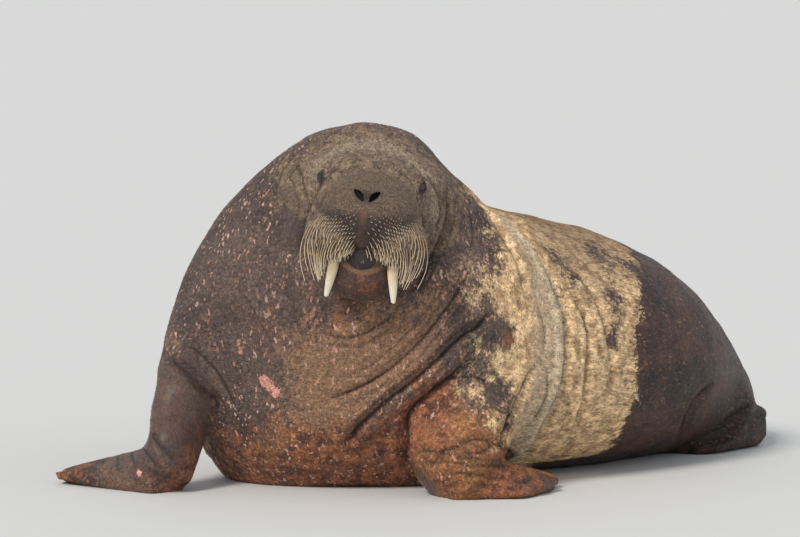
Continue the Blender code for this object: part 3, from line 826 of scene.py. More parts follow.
@dataclass
class Hide:
    """The one skin over all flesh, its creases, and the fields that its markings read."""

    view: PhotoView
    frame: HeadFrame
    spine: Spine
    face: Face = field(default_factory=Face)
    eye: EyeForm = field(default_factory=EyeForm)
    nostrils: Nostrils = field(default_factory=Nostrils)
    creases: Creases = field(default_factory=Creases)
    cell: float = 0.0160
    fine_cell: float = 0.0056
    swell: float = 0.0012
    coat: float = 0.0035
    bare: float = 0.0010
    broad_passes: int = 22
    fine_passes: int = 4
    head_passes: int = 5
    last_passes: int = 2
    tightening: Pair = (0.5, -0.52)
    lump_scale: float = 7.0
    lump_height: float = 0.0045
    most_roll: float = 0.011
    head_egg: tuple[Numbers, ...] = ((0, -0.02, -0.105), (0.235, 0.25, 0.245))
    limb_ends: tuple[Numbers, ...] = (
        (-0.88, -0.42, 0.24), (0.20, -0.58, 0.24), (0.75, 0.25, 0.22), (0.97, 0.60, 0.12),
    )

    def build(self, nodes: dict[str, Object]) -> Object:
        """Makes the skin.

        Args:
            nodes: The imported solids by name.

        Returns:
            The skin's object.
        """
        flesh = [f.node for f in Flesh if f.copied]
        skin = self.drawn_over(nodes, flesh, self.cell, "hide")
        self.smoothed(skin.data, self.broad_passes, self.broadness(places(skin.data)))
        fine = self.drawn_over(nodes, flesh, self.fine_cell, "fine")
        self.smoothed(fine.data, self.fine_passes, np.ones(len(fine.data.vertices)))
        self.smoothed(fine.data, self.head_passes, 1 - self.off_head(places(fine.data)))
        tree = BVHTree.FromObject(skin, bpy.context.evaluated_depsgraph_get())
        grooves: list[Groove] = []
        for crease in self.creases.everywhere:
            grooves += crease.laid(self.view, tree, self.spine)
        self.refined(skin, grooves)
        self.fitted(skin, fine)
        bpy.data.objects.remove(fine)
        self.pressed(skin.data, grooves)
        self.features(skin.data)
        self.grounded(skin.data)
        self.hands(skin.data, nodes)
        skin.data.shade_smooth()
        LOG.info("hide: %d triangles, %d grooves", triangles(skin), len(grooves))
        return skin

    def drawn_over(
        self, nodes: dict[str, Object], names: list[str], cell: float, name: str
    ) -> Object:
        """One closed surface round copies of solids and the forms of the head.

        Args:
            nodes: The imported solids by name.
            names: The solids to copy.
            cell: The size of its cells.
            name: The name of the new object.

        Returns:
            The new object.
        """
        whole = bmesh.new()
        for node in names:
            form = bmesh.new()
            form.from_mesh(nodes[node].data)
            bmesh.ops.remove_doubles(form, verts=form.verts, dist=0.00001)
            form.normal_update()
            for vert in form.verts:
                vert.co += vert.normal * self.swell
            mesh = bpy.data.meshes.new(node)
            form.to_mesh(mesh)
            form.free()
            whole.from_mesh(mesh)
            bpy.data.meshes.remove(mesh)
        self.face.build(whole, self.frame, Vector(self.eye.at))
        made = cast(name, whole)
        remesh = made.modifiers.new("remesh", "REMESH")
        remesh.mode, remesh.voxel_size = "VOXEL", cell
        return settled(made)

    def smoothed(self, mesh: Mesh, passes: int, share: Array) -> None:
        """Evens out a surface without shrinking it.

        Args:
            mesh: The mesh to smooth.
            passes: How often.
            share: How far each vertex may move, from 0 to 1.
        """
        points = places(mesh)
        ends = np.empty(len(mesh.edges) * 2, np.int64)
        mesh.edges.foreach_get("vertices", ends)
        a, b = ends[::2], ends[1::2]
        count = np.maximum(np.bincount(ends, minlength=len(points)), 1)
        for _ in range(passes):
            for factor in self.tightening:
                mean = np.empty_like(points)
                for k in range(3):
                    total = np.bincount(a, points[b, k], len(points))
                    total += np.bincount(b, points[a, k], len(points))
                    mean[:, k] = total / count
                points += (mean - points) * (share * factor)[:, None]
        move_to(mesh, points)

    def off_head(self, points: Array) -> Array:
        """How far places are from the head: 0 on it and 1 well behind it."""
        centre, size = (np.array(v) for v in self.head_egg)
        return ease(np.linalg.norm((self.frame.local(points) - centre) / size, axis=1), 0.95, 1.30)

    def broadness(self, points: Array) -> Array:
        """Where the flesh is broad and smooth, away from the head, hands and feet."""
        made = self.off_head(points)
        for x, y, radius in self.limb_ends:
            off = np.hypot(points[:, 0] - x, points[:, 1] - y)
            made *= ease(np.maximum(off / radius, points[:, 2] / 0.13), 0.9, 1.3)
        return made

    def refined(self, skin: Object, grooves: list[Groove]) -> None:
        """Divides the cells along creases, on the head, and finest at the eyes and nose.

        Args:
            skin: The skin's object.
            grooves: The grooves as laid on it.
        """

        def near_crease(points: Array, share: float, least: float) -> Array:
            made = np.zeros(len(points), bool)
            for groove in grooves:
                reach = max(groove.width * share, least)
                index, gap, _ = groove.near(points, reach)
                made[index[gap < reach]] = True
            return made

        def on_face(points: Array) -> Array:
            local = self.frame.local(points)
            muzzle = (local[:, 1] < -0.085) & (local[:, 2] < 0.02) & (local[:, 2] > -0.235)
            return muzzle | self.near_eyes(local, 0.042)

        def on_details(points: Array) -> Array:
            local = self.frame.local(points)
            nose = (np.abs(local[:, 0]) < 0.044) & (np.abs(local[:, 2] + 0.024) < 0.024)
            return (nose & (local[:, 1] < -0.1)) | self.near_eyes(local, 0.031)

        tests: tuple[Callable[[Array], Array], ...] = (
            lambda p: near_crease(p, 3.0, 0.014) | (self.broadness(p) < 0.35),
            lambda p: near_crease(p, 1.0, 0.006) | on_face(p),
            on_details,
        )
        form = bmesh.new()
        form.from_mesh(skin.data)
        for test in tests:
            chosen = test(np.array([v.co for v in form.verts]))
            edges = [
                e for e in form.edges
                if chosen[e.verts[0].index] and chosen[e.verts[1].index]
            ]
            bmesh.ops.subdivide_edges(form, edges=edges, cuts=1, use_grid_fill=True)
            form.verts.index_update()
        bmesh.ops.triangulate(form, faces=[f for f in form.faces if len(f.verts) > 4])
        form.to_mesh(skin.data)
        form.free()

    def near_eyes(self, local: Array, reach: float) -> Array:
        """Which places of the head's frame lie within reach of an eye's middle."""
        made = np.zeros(len(local), bool)
        for side in Side:
            made |= np.linalg.norm(local - self.eye.axes(side)[0], axis=1) < reach
        return made

    def fitted(self, skin: Object, fine: Object) -> None:
        """Draws the skin of the head, hands and feet down onto the finer form.

        Args:
            skin: The skin's object.
            fine: The finer form of the flesh.
        """
        points = places(skin.data)
        share = 1 - self.broadness(points)
        tree = BVHTree.FromObject(fine, bpy.context.evaluated_depsgraph_get())
        for i in np.flatnonzero(share > 0):
            near = tree.find_nearest(Vector(points[i]))[0]
            points[i] += (np.array(near) - points[i]) * share[i]
        move_to(skin.data, points)
        self.smoothed(skin.data, self.last_passes, np.ones(len(points)))

    def pressed(self, mesh: Mesh, grooves: list[Groove]) -> None:
        """Sinks the skin below the coat, presses the creases in, rolls up their sides and stores
        the painted shade along them.

        Args:
            mesh: The skin's mesh.
            grooves: The grooves as laid on it.
        """
        points, outward = places(mesh), normals(mesh)
        sunk, raised = np.zeros(len(points)), np.zeros(len(points))
        dark = np.zeros(len(points))
        for groove in grooves:
            w = groove.width
            index, gap, strength = groove.near(points, w * 5)
            if not len(index):
                continue
            cusp = groove.depth * strength * np.exp(-((gap / w) ** 1.1))
            sunk[index] = np.maximum(sunk[index], cusp)
            ridge = np.exp(-(((gap - 2.3 * w) / (1.2 * w)) ** 2))
            raised[index] += groove.roll * strength * ridge
            # The painted shade along the crease, darkest on its line.
            line = np.exp(-((gap / max(0.36 * w, 0.0040)) ** 1.7))
            dark[index] = np.maximum(dark[index], groove.dark * strength * line)
        broad = self.broadness(points)
        lumps = np.array([
            noise.fractal(Vector(p) * self.lump_scale, 0.9, 2.1, 3, noise_basis="PERLIN_ORIGINAL")
            for p in points
        ])
        lift = np.minimum(raised, self.most_roll) - sunk + lumps * self.lump_height * broad
        lift -= self.bare + (self.coat - self.bare) * broad
        points += outward * lift[:, None]
        move_to(mesh, points)
        keep(mesh, "crease", dark)

    def features(self, mesh: Mesh) -> None:
        """Opens the lids and nostrils.

        Args:
            mesh: The skin's mesh.
        """
        local = self.frame.local(places(mesh))
        lids = np.zeros(len(local))
        for side in Side:
            local, rim = self.eye.shaped(local, side)
            lids = np.maximum(lids, rim)
        local, recess_shade = self.nostrils.shaped(local)
        move_to(mesh, self.frame.world(local))
        septum = (local - (self.nostrils.middle, -0.15, -0.020)) / (0.021, 0.09, 0.021)
        septum = 1 - ease(np.linalg.norm(septum, axis=1), 0.5, 1.2)
        lids = np.maximum(lids, 0.8 * septum * (local[:, 1] < -0.1))
        keep(mesh, "lid", lids)
        keep(mesh, "recess_shade", recess_shade)

    def grounded(self, mesh: Mesh) -> None:
        """Sets the underside flat on the floor.

        Args:
            mesh: The skin's mesh.
        """
        points = places(mesh)
        points[:, 2] -= self.coat * (1 - ease(points[:, 2], 0.004, 0.03))
        points[:, 2] = np.maximum(points[:, 2], 0.0)
        move_to(mesh, points)

    def hands(self, mesh: Mesh, nodes: dict[str, Object]) -> None:
        """Stores which of the skin lies on the hands and feet.

        Args:
            mesh: The skin's mesh.
            nodes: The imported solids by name.
        """
        points, near = places(mesh), np.ones(len(mesh.vertices))
        for flesh in (Flesh.LEFT_FORE, Flesh.RIGHT_FORE, Flesh.LEFT_HIND, Flesh.RIGHT_HIND):
            solid = nodes[flesh.node].data
            form = bmesh.new()
            form.from_mesh(solid)
            tree = BVHTree.FromBMesh(form)
            form.free()
            low, high = places(solid).min(0) - 0.03, places(solid).max(0) + 0.03
            for i in np.flatnonzero(((points > low) & (points < high)).all(1)):
                near[i] = min(near[i], tree.find_nearest(Vector(points[i]))[3])
        keep(mesh, "hand", 1 - ease(near, 0.010, 0.028))


def keep(mesh: Mesh, name: str, values: Array) -> None:
    """Stores a number for each vertex under a name that the shaders read."""
    kind = "FLOAT_VECTOR" if values.ndim == 2 else "FLOAT"
    layer = mesh.attributes.new(name, kind, "POINT")
    layer.data.foreach_set("vector" if values.ndim == 2 else "value", values.astype("f").ravel())


def kept(mesh: Mesh, name: str) -> Array:
    """The numbers stored for each vertex under a name."""
    layer = mesh.attributes[name]
    if layer.data_type == "FLOAT_VECTOR":
        made = np.empty(len(mesh.vertices) * 3)
        layer.data.foreach_get("vector", made)
        return made.reshape(-1, 3)
    made = np.empty(len(mesh.vertices))
    layer.data.foreach_get("value", made)
    return made


def triangles(made: Object) -> int:
    """The number of triangles of an object's mesh."""
    return sum(len(p.vertices) - 2 for p in made.data.polygons)


def dressed(made: Object, name: str, values: Array, finish: Material) -> Object:
    """Gives a smooth body its field and its material, and reports it.

    Args:
        made: The body.
        name: The field's name.
        values: The field's number for each vertex.
        finish: The material.

    Returns:
        The same body.
    """
    keep(made.data, name, values)
    made.data.shade_smooth()
    made.data.materials.append(finish)
    LOG.info("%s: %d triangles", made.name, triangles(made))
    return made


@dataclass(frozen=True)
class Markings:
    """The fields of the hide that its colours follow, stored for each vertex.

    Patches are rows of a pixel of the photo, a radius in metres and what is added there. A field
    of 0 leaves its colour out and one of 1 lays it on in full, with a ragged edge between.
    """

    wet_edge: Pixels = ((618, 238), (636, 262), (640, 300), (636, 350), (633, 400), (606, 450),
                        (540, 462))
    tan_edge: Pixels = ((470, 192), (480, 222), (489, 262), (492, 300), (499, 340), (504, 400),
                        (498, 450))
    band_start: Pixels = ((485, 206), (499, 231), (514, 257), (526, 300), (530, 350),
                          (522, 400), (508, 440))
    band_end: Pixels = ((504, 217), (541, 258), (564, 308), (567, 360), (557, 404), (526, 453))
    brow: Pixels = ((317, 168), (328, 156), (341, 149), (359, 145), (385, 147), (408, 158),
                    (424, 172), (434, 196), (436, 226))
    stains: Rows = (
        (478, 215, 0.045, -0.45), (490, 250, 0.050, -0.35), (503, 332, 0.035, -0.5),
        (497, 390, 0.045, -0.36), (508, 420, 0.035, -0.36), (518, 440, 0.030, -0.25),
        (560, 262, 0.050, -0.55), (578, 285, 0.045, -0.45), (600, 260, 0.065, -0.55),
        (616, 300, 0.055, -0.6), (613, 335, 0.050, -0.6), (592, 243, 0.050, -0.4),
        (556, 292, 0.040, -0.4), (632, 268, 0.050, -0.7), (587, 330, 0.022, -0.3),
        (545, 247, 0.040, -0.4), (525, 228, 0.040, -0.15),
    )
    tan_patches: Rows = (
        (480, 385, 0.065, 0.40), (462, 398, 0.050, 0.25), (497, 372, 0.050, 0.30),
        (462, 265, 0.045, 0.32), (478, 345, 0.035, 0.4), (470, 300, 0.040, 0.38),
        (455, 420, 0.040, 0.25), (225, 185, 0.050, 0.3), (250, 160, 0.050, 0.3),
        (275, 145, 0.050, 0.25), (480, 420, 0.040, 0.3), (508, 338, 0.018, -1.2),
        (462, 190, 0.030, 0.35),
    )
    rusts: Rows = (
        (440, 430, 0.130, 0.85), (430, 395, 0.080, 0.4), (480, 470, 0.120, 0.8),
        (520, 470, 0.100, 0.7), (300, 440, 0.100, 0.2), (350, 300, 0.045, 0.7),
        (338, 318, 0.030, 0.5), (372, 288, 0.040, 0.5), (375, 131, 0.050, 0.5),
        (330, 455, 0.120, 0.2), (385, 445, 0.100, 0.25), (150, 465, 0.090, -0.35),
        (110, 475, 0.110, -0.55), (508, 338, 0.022, 0.9), (262, 330, 0.060, 0.25),
        (170, 405, 0.090, 0.35), (395, 470, 0.110, 0.3), (362, 286, 0.040, 0.3),
    )
    # Warmer tan-brown patches; those on the middle and left side of the chest are partly painted
    # light where the light falls.
    warm_and_lit_patches: Rows = (
        (350, 355, 0.160, 0.6), (395, 340, 0.120, 0.6), (300, 350, 0.100, 0.25),
        (330, 405, 0.130, 0.55), (440, 305, 0.100, 0.45), (460, 250, 0.090, 0.4),
        (420, 380, 0.100, 0.4), (300, 420, 0.080, 0.4), (210, 330, 0.060, 0.2),
        (110, 470, 0.120, 0.5),
    )
    olives: Rows = (
        (440, 205, 0.070, 0.5), (452, 240, 0.060, 0.45), (285, 165, 0.060, 0.45),
        (293, 225, 0.050, -0.75), (262, 210, 0.060, 0.15), (250, 165, 0.070, 0.35),
        (460, 190, 0.060, 0.4), (297, 195, 0.022, -0.4),
    )
    # Dark patches: the right arm and hand and the left hand's heel and finger tips are darker
    # hide; those on both sides of the muzzle, the right cheek and the chest's right side are
    # painted shade, and those below the tusks are painted shadow.
    dark_skin_and_painted_shade_patches: Rows = (
        (165, 400, 0.110, 0.42), (180, 440, 0.110, 0.5), (120, 465, 0.120, 0.5),
        (200, 380, 0.060, 0.3), (425, 482, 0.045, 0.9), (415, 468, 0.030, 0.5),
        (293, 228, 0.045, 0.55), (291, 200, 0.035, 0.4),
        (546, 480, 0.035, 0.9), (554, 482, 0.040, 0.9), (528, 488, 0.035, 0.5),
        (430, 490, 0.040, 0.6), (470, 447, 0.012, 0.5), (498, 462, 0.012, 0.6),
        (317, 206, 0.018, 1.1), (313, 215, 0.016, 0.9), (305, 205, 0.020, 0.7),
        (427, 205, 0.018, 0.6), (429, 225, 0.018, 0.6), (235, 300, 0.200, 0.2),
        (330, 292, 0.030, 0.5), (405, 300, 0.035, 0.4), (414, 320, 0.018, 0.7),
        (335, 310, 0.012, 0.5),
    )
    wounds: Rows = (
        (263, 379, 0.016, 1), (270, 386, 0.016, 1), (278, 392, 0.010, 1), (139, 473, 0.011, 1),
        (340, 323, 0.011, 0.8), (326, 386, 0.007, 0.9), (275, 396, 0.009, 1), (213, 296, 0.005, 1),
    )

    def lay(self, hide: Hide, skin: Object) -> None:
        """Works out every field.

        Args:
            hide: The maker of the skin, for its frames.
            skin: The skin's object.
        """
        tree = BVHTree.FromObject(skin, bpy.context.evaluated_depsgraph_get())
        mesh, spine, view = skin.data, hide.spine, hide.view
        points = places(mesh)
        flow, _, _ = spine.measure(points)
        along, height = spine.along(points), points[:, 2]
        local = hide.frame.local(points)
        down = -local[:, 2]

        def edge(pixels: Pixels) -> Array:
            found = view.spots(spline(pixels, 4), tree)
            order = np.argsort(found[:, 2])
            return along - np.interp(height, found[order, 2], spine.along(found)[order])

        def patches(rows: Rows, both_sides: bool = False) -> Array:
            made = np.zeros(len(points))
            for x, y, radius, adds in rows:
                at = view.spots([(x, y)], tree)
                for middle in ((at, spine.mirrored(at)) if both_sides else (at,)):
                    if len(middle):
                        gap = np.linalg.norm(points - middle, axis=1)
                        made += adds * np.exp(-((gap / radius) ** 2))
            return made

        def egg(centre: Numbers, size: Numbers, low: float, high: float) -> Array:
            off = (local - np.array(centre)) / np.array(size)
            return 1 - ease(np.linalg.norm(off, axis=1), low, high)

        brow = view.spots(spline(self.brow, 6), tree)
        gap = np.linalg.norm(points[:, None] - brow[None], axis=2).min(1)
        snout = egg((0, -0.12, -0.075), (0.150, 0.125, 0.150), 0.78, 1.04)
        start, stop = edge(self.band_start), -edge(self.band_end)
        pink = np.abs(local[:, 0] + 0.014) / (0.0072 + 0.05 * np.clip(down - 0.10, 0, 0.08))
        pink = (1 - ease(pink, 0.5, 1.4)) * ease(down, 0.040, 0.050) * (local[:, 1] < -0.1)
        pink *= 1 - 0.6 * ease(down, 0.070, 0.100)
        fields = {
            "flow": flow,
            "wet": np.clip(0.5 + edge(self.wet_edge) / 0.11, -1, 2),
            "tan": 1.10 * ease(edge(self.tan_edge), -0.11, 0.13) + patches(self.tan_patches)
            + 1.3 * patches(self.stains, True),
            "band": ease(start, -0.03, 0.06) * ease(stop, -0.004, 0.012),
            "cream_and_ridge_highlight": 1 - ease(stop, 0.006, 0.080),
            "painted_top_shade": ease(height, 0.40, 0.75) * ease(along, 0.10, 0.30),
            "rust": 0.75 * (1 - ease(height, 0.03, 0.30)) + patches(self.rusts),
            "warm": patches(self.warm_and_lit_patches),
            "olive": egg((0, 0.02, -0.05), (0.26, 0.30, 0.24), 0.70, 1.30)
            * ease(-down, -0.26, -0.14) + patches(self.olives),
            "dark_skin_and_painted_shade": patches(self.dark_skin_and_painted_shade_patches),
            "wound": patches(self.wounds),
            "snout": snout,
            "stubble": snout * ease(down, 0.050, 0.085),
            "brow": 1 - ease(gap, 0.004, 0.050),
            "chin": egg((0, -0.10, -0.245), (0.11, 0.15, 0.060), 0.75, 1.20),
            "lip": egg((-0.006, -0.168, -0.190), (0.041, 0.05, 0.029), 0.88, 1.06),
            "lip_rim": egg((-0.004, -0.165, -0.195), (0.062, 0.06, 0.036), 0.90, 1.10)
            * ease(down, 0.200, 0.214),
            "pink": pink * (1 - ease(down, 0.145, 0.165)),
        }
        fields["tan"] -= kept(mesh, "hand") * 1.2
        for name, values in fields.items():
            keep(mesh, name, values)


class Wires:
    """Adds nodes to a shader tree and joins them."""

    def __init__(self, tree: Tree) -> None:
        """Starts work on a tree."""
        self.tree = tree

    def node(self, kind: str, **settings: object) -> Node:
        """Adds a node.

        Args:
            kind: The node's type.
            settings: Its properties by name.

        Returns:
            The node.
        """
        made = self.tree.nodes.new(kind)
        for name, value in settings.items():
            setattr(made, name, value)
        return made

    def put(self, socket: Socket, value: object) -> None:
        """Joins a socket to an input, or sets the input's own value."""
        if isinstance(value, Socket):
            self.tree.links.new(value, socket)
        else:
            socket.default_value = value

    def fed(self, kind: str, given: dict[str | int, object], **settings: object) -> Node:
        """Adds a node and fills its inputs.

        Args:
            kind: The node's type.
            given: What its inputs get, by their names or numbers.
            settings: Its properties by name.

        Returns:
            The node.
        """
        made = self.node(kind, **settings)
        for key, value in given.items():
            self.put(made.inputs[key], value)
        return made

    def sum_of(self, operation: str, *values: object) -> Socket:
        """The result of arithmetic on values and sockets."""
        return self.fed("ShaderNodeMath", dict(enumerate(values)), operation=operation).outputs[0]

    def step(
        self, value: object, low: float, high: float, start: float = 0.0, end: float = 1.0
    ) -> Socket:
        """A smooth step.

        Args:
            value: What is tested.
            low: Where the step starts.
            high: Where it ends.
            start: The result at and below low.
            end: The result at and above high.

        Returns:
            The result's socket.
        """
        given = dict(enumerate((value, low, high, start, end)))
        return self.fed("ShaderNodeMapRange", given, interpolation_type="SMOOTHSTEP").outputs[0]

    def times(self, a: object, b: object) -> Socket:
        """The product of two values."""
        return self.sum_of("MULTIPLY", a, b)

    def plus(self, a: object, b: object) -> Socket:
        """The sum of two values."""
        return self.sum_of("ADD", a, b)

    def most(self, a: object, b: object) -> Socket:
        """The larger of two values."""
        return self.sum_of("MAXIMUM", a, b)

    def without(self, value: object, other: object) -> Socket:
        """A value where the other one is 0, fading to nothing where that is 1."""
        return self.times(value, self.sum_of("SUBTRACT", 1.0, other))

    def swing(self, value: object, size: float) -> Socket:
        """Soft random values made to swing round 0, by half the size at most."""
        return self.times(self.plus(value, -0.5), size)

    def grey(self, value: object) -> Socket:
        """A value as a grey colour."""
        return self.fed("ShaderNodeCombineColor", dict.fromkeys(range(3), value)).outputs[0]

    def blend(self, share: object, base: object, top: object, kind: str = "MIX") -> Socket:
        """Mixes two colours.

        Args:
            share: How much of the top colour there is.
            base: The colour below.
            top: The colour above.
            kind: The way they are mixed.

        Returns:
            The mixed colour's socket.
        """
        given = {0: share, 6: base, 7: top}
        return self.fed("ShaderNodeMix", given, data_type="RGBA", blend_type=kind).outputs[2]

    def noise(
        self, place: Socket, scale: float, detail: float = 2.0, rough: float = 0.5,
        twist: float = 0.0,
    ) -> Socket:
        """Soft random values over the surface.

        Args:
            place: The place that they are read at.
            scale: How many swells there are in a metre.
            detail: How many finer layers are added.
            rough: How strong those are.
            twist: How far the swells are bent.

        Returns:
            The values' socket.
        """
        return self.fed("ShaderNodeTexNoise", {
            "Vector": place, "Scale": scale, "Detail": detail, "Roughness": rough,
            "Distortion": twist,
        }).outputs["Fac"]

    def stretched(self, place: Socket, x: float, y: float, z: float) -> Socket:
        """A place scaled on each axis, so that what is read there is drawn out."""
        given = {0: place, 1: (x, y, z)}
        return self.fed("ShaderNodeVectorMath", given, operation="MULTIPLY").outputs[0]

    def wavering(self, base: Socket, place: Socket, scale: float, size: float) -> Socket:
        """A place that soft noise moves, so that what is read there has wavering edges.

        Args:
            base: The place that is moved.
            place: The place that the noise is read at.
            scale: How many swells the noise has in a metre.
            size: How far it moves the place.

        Returns:
            The moved place.
        """
        wavy = self.fed("ShaderNodeTexNoise", {"Vector": place, "Scale": scale})
        given = {0: wavy.outputs["Color"], "Scale": size}
        small = self.fed("ShaderNodeVectorMath", given, operation="SCALE")
        given = {0: base, 1: small.outputs[0]}
        return self.fed("ShaderNodeVectorMath", given, operation="ADD").outputs[0]

    def field(self, name: str) -> Socket:
        """A number stored on the mesh."""
        return self.node("ShaderNodeAttribute", attribute_name=name).outputs["Fac"]

    def sense(self, name: str) -> Socket:
        """A vector stored on the mesh."""
        return self.node("ShaderNodeAttribute", attribute_name=name).outputs["Vector"]

    def stored(self, name: str, kind: str) -> Socket:
        """What Geometry Nodes read from the mesh under a name."""
        made = self.fed("GeometryNodeInputNamedAttribute", {"Name": name}, data_type=kind)
        return made.outputs["Attribute"]

    def real(self, body: Socket) -> Socket:
        """Instances made real."""
        return self.fed("GeometryNodeRealizeInstances", {0: body}).outputs[0]

    def finish(self, body: Socket, material: Socket, end: Node) -> None:
        """Sets the material of a body and puts it out."""
        given = {"Geometry": body, "Material": material}
        self.put(end.inputs[0], self.fed("GeometryNodeSetMaterial", given).outputs[0])


Begun = tuple[Tree, Wires, Node, Node]


def new_tree(
    kind: str, name: str, inputs: dict[str, tuple[str, object]], outputs: dict[str, str]
) -> Begun:
    """An empty tree of nodes with its sockets.

    Args:
        kind: The kind of tree.
        name: The tree's name.
        inputs: Its inputs: the kind of socket and the usual value of each.
        outputs: Its outputs with the kinds of their sockets.

    Returns:
        The tree, its wires, and its input and output nodes.
    """
    tree = bpy.data.node_groups.new(name, kind)
    for label, (socket, value) in inputs.items():
        made = tree.interface.new_socket(label, in_out="INPUT", socket_type=socket)
        if value is not None:
            made.default_value = value
    for label, socket in outputs.items():
        tree.interface.new_socket(label, in_out="OUTPUT", socket_type=socket)
    wires = Wires(tree)
    return tree, wires, wires.node("NodeGroupInput"), wires.node("NodeGroupOutput")


def shader_group(name: str, inputs: dict[str, float], outputs: dict[str, str]) -> Begun:
    """An empty shader node group, with inputs that are numbers."""
    given = {label: ("NodeSocketFloat", value) for label, value in inputs.items()}
    return new_tree("ShaderNodeTree", name, given, outputs)


def geometry_tree(name: str, inputs: dict[str, tuple[str, object]]) -> Begun:
    """An empty Geometry Nodes tree, with the body that goes in and comes out."""
    body = "NodeSocketGeometry"
    given = {"Geometry": (body, None), **inputs}
    return new_tree("GeometryNodeTree", name, given, {"Geometry": body})


def new_finish(name: str) -> tuple[Material, Wires, Node]:
    """A new material.

    Args:
        name: The material's name.

    Returns:
        The material, its wires and its shader.
    """
    made = bpy.data.materials.new(name)
    made.use_nodes = True
    return made, Wires(made.node_tree), made.node_tree.nodes["Principled BSDF"]


@dataclass(frozen=True)
class HideColours:
    """The colours of the hide and the coat, in one group that both of their finishes use."""

    chest: Numbers = paint(104, 86, 78)
    chest_deep: Numbers = paint(76, 62, 58)
    warm: Numbers = paint(166, 127, 98)
    rust: Numbers = paint(158, 99, 68)
    rust_deep: Numbers = paint(86, 54, 42)
    ochre: Numbers = paint(158, 112, 68)
    tan: Numbers = paint(234, 202, 157)
    tan_deep: Numbers = paint(170, 137, 100)
    band: Numbers = paint(208, 194, 168)
    band_grey: Numbers = paint(184, 163, 137)
    olive: Numbers = paint(134, 113, 91)
    olive_deep: Numbers = paint(94, 77, 62)
    brow: Numbers = paint(154, 138, 116)
    snout: Numbers = paint(97, 81, 67)
    pad: Numbers = paint(46, 34, 29)
    wet: Numbers = paint(78, 50, 42)
    wet_deep: Numbers = paint(40, 24, 22)
    dark_skin_and_painted_shade: Numbers = paint(68, 43, 34)
    fleck: Numbers = paint(226, 186, 170)
    fleck_warm: Numbers = paint(212, 146, 116)
    wound: Numbers = paint(226, 160, 146)
    pink: Numbers = paint(130, 84, 73)
    lip: Numbers = paint(52, 40, 41)
    lid: Numbers = paint(48, 33, 36)
    # Near-black painted shade inside the nostrils and along the creases.
    recess_shade: Numbers = paint(16, 12, 12)

    def group(self) -> Tree:
        """Builds the group.

        Returns:
            A group that puts out the colour, and how wet, scarred and furry the hide is.
        """
        value = "NodeSocketFloat"
        tree, w, entry, end = shader_group(
            "hide_colours", {"Stipple": 1.0, "Net": 0.8},
            {"Color": "NodeSocketColor", "Wet": value, "Scars": value, "Furry": value},
        )
        flow, place = w.sense("flow"), w.node("ShaderNodeTexCoord").outputs["Object"]
        broad, swells = w.noise(place, 5, 4, 0.65), w.noise(place, 30, 4, 0.65)
        ragged = w.plus(w.plus(w.swing(w.noise(place, 12, 8, 0.7, 0.4), 1.7),
                               w.swing(w.noise(place, 42, 4, 0.7), 1.2)),
                        w.swing(w.noise(w.stretched(flow, 0.6, 1, 1), 125, 4, 0.75), 1.9))
        mottle = w.step(w.noise(place, 115, 5, 0.75), 0.39, 0.61, 0.66, 1.30)

        def cover(name: str, spread: float, share: float = 1.0) -> Socket:
            patchy = w.plus(w.field(name), w.times(ragged, share))
            return w.step(patchy, 0.5 - spread, 0.5 + spread)

        # The bare hide: grey-brown, tanner down the chest and rusty near the floor.
        colour = w.blend(w.step(broad, 0.36, 0.62), self.chest_deep, self.chest)
        # Warmer tan-brown, partly painted light on the lit middle of the chest.
        colour = w.blend(w.times(cover("warm", 0.30), 0.85), colour, self.warm)
        red = w.blend(w.step(swells, 0.34, 0.60), self.rust_deep, self.rust)
        red = w.blend(w.step(broad, 0.50, 0.64, 0, 0.6), red, self.ochre)
        colour = w.blend(cover("rust", 0.32), colour, red)
        # Painted shade in the cracks of the wrinkles and lighter ridges between them, with a
        # random mottle.
        wrinkle_shade = w.times(w.step(entry.outputs["Net"], 0, 1, 0.74, 1.12), mottle)
        colour = w.blend(1.0, colour, w.grey(wrinkle_shade), "MULTIPLY")
        # The tan fur of the flanks and back, with its pale band, which grows brighter towards the
        # fold's ridge as a painted highlight.
        fur = w.blend(w.step(swells, 0.34, 0.60), self.tan_deep, self.tan)
        # Darker olive towards the top of the trunk: painted shade against the light from above.
        fur = w.blend(w.times(w.field("painted_top_shade"), 0.7), fur, self.olive)
        band = w.step(w.plus(w.field("band"), w.times(ragged, 0.4)), 0.2, 0.8)
        pale = w.blend(w.field("cream_and_ridge_highlight"), self.band_grey, self.band)
        tan = cover("tan", 0.20)
        colour = w.blend(tan, colour, w.blend(w.times(band, 0.75), fur, pale))
        # The head and nape.
        olive = w.blend(w.step(swells, 0.34, 0.60), self.olive_deep, self.olive)
        head = cover("olive", 0.25)
        colour = w.blend(w.times(head, 0.92), colour, olive)
        colour = w.blend(w.times(w.field("brow"), 0.55), colour, self.brow)
        # The dark wet rear.
        wet = cover("wet", 0.05, 0.75)
        slick = w.blend(w.step(broad, 0.40, 0.60), self.wet_deep, self.wet)
        slick = w.blend(w.step(ragged, 0.05, 0.30, 0, 0.45), slick, self.rust_deep)
        dots = w.step(w.noise(w.stretched(flow, 0.5, 1, 1), 100, 4, 0.75), 0.56, 0.68, 0, 0.5)
        colour = w.blend(wet, colour, w.blend(dots, slick, self.tan_deep))
        # Light and dark hairs.
        hairs = w.step(w.noise(w.stretched(flow, 0.4, 1, 1), 190, 3, 0.75), 0.36, 0.64, -0.4, 0.4)
        clumps = w.step(w.noise(w.stretched(flow, 0.5, 1, 1), 70, 3, 0.7), 0.36, 0.64, -0.3, 0.3)
        furry = w.most(w.most(tan, head), 0.5)
        light = w.plus(1.0, w.plus(hairs, clumps))
        stippled = w.times(furry, entry.outputs["Stipple"])
        colour = w.blend(stippled, colour, w.grey(light), "MULTIPLY")
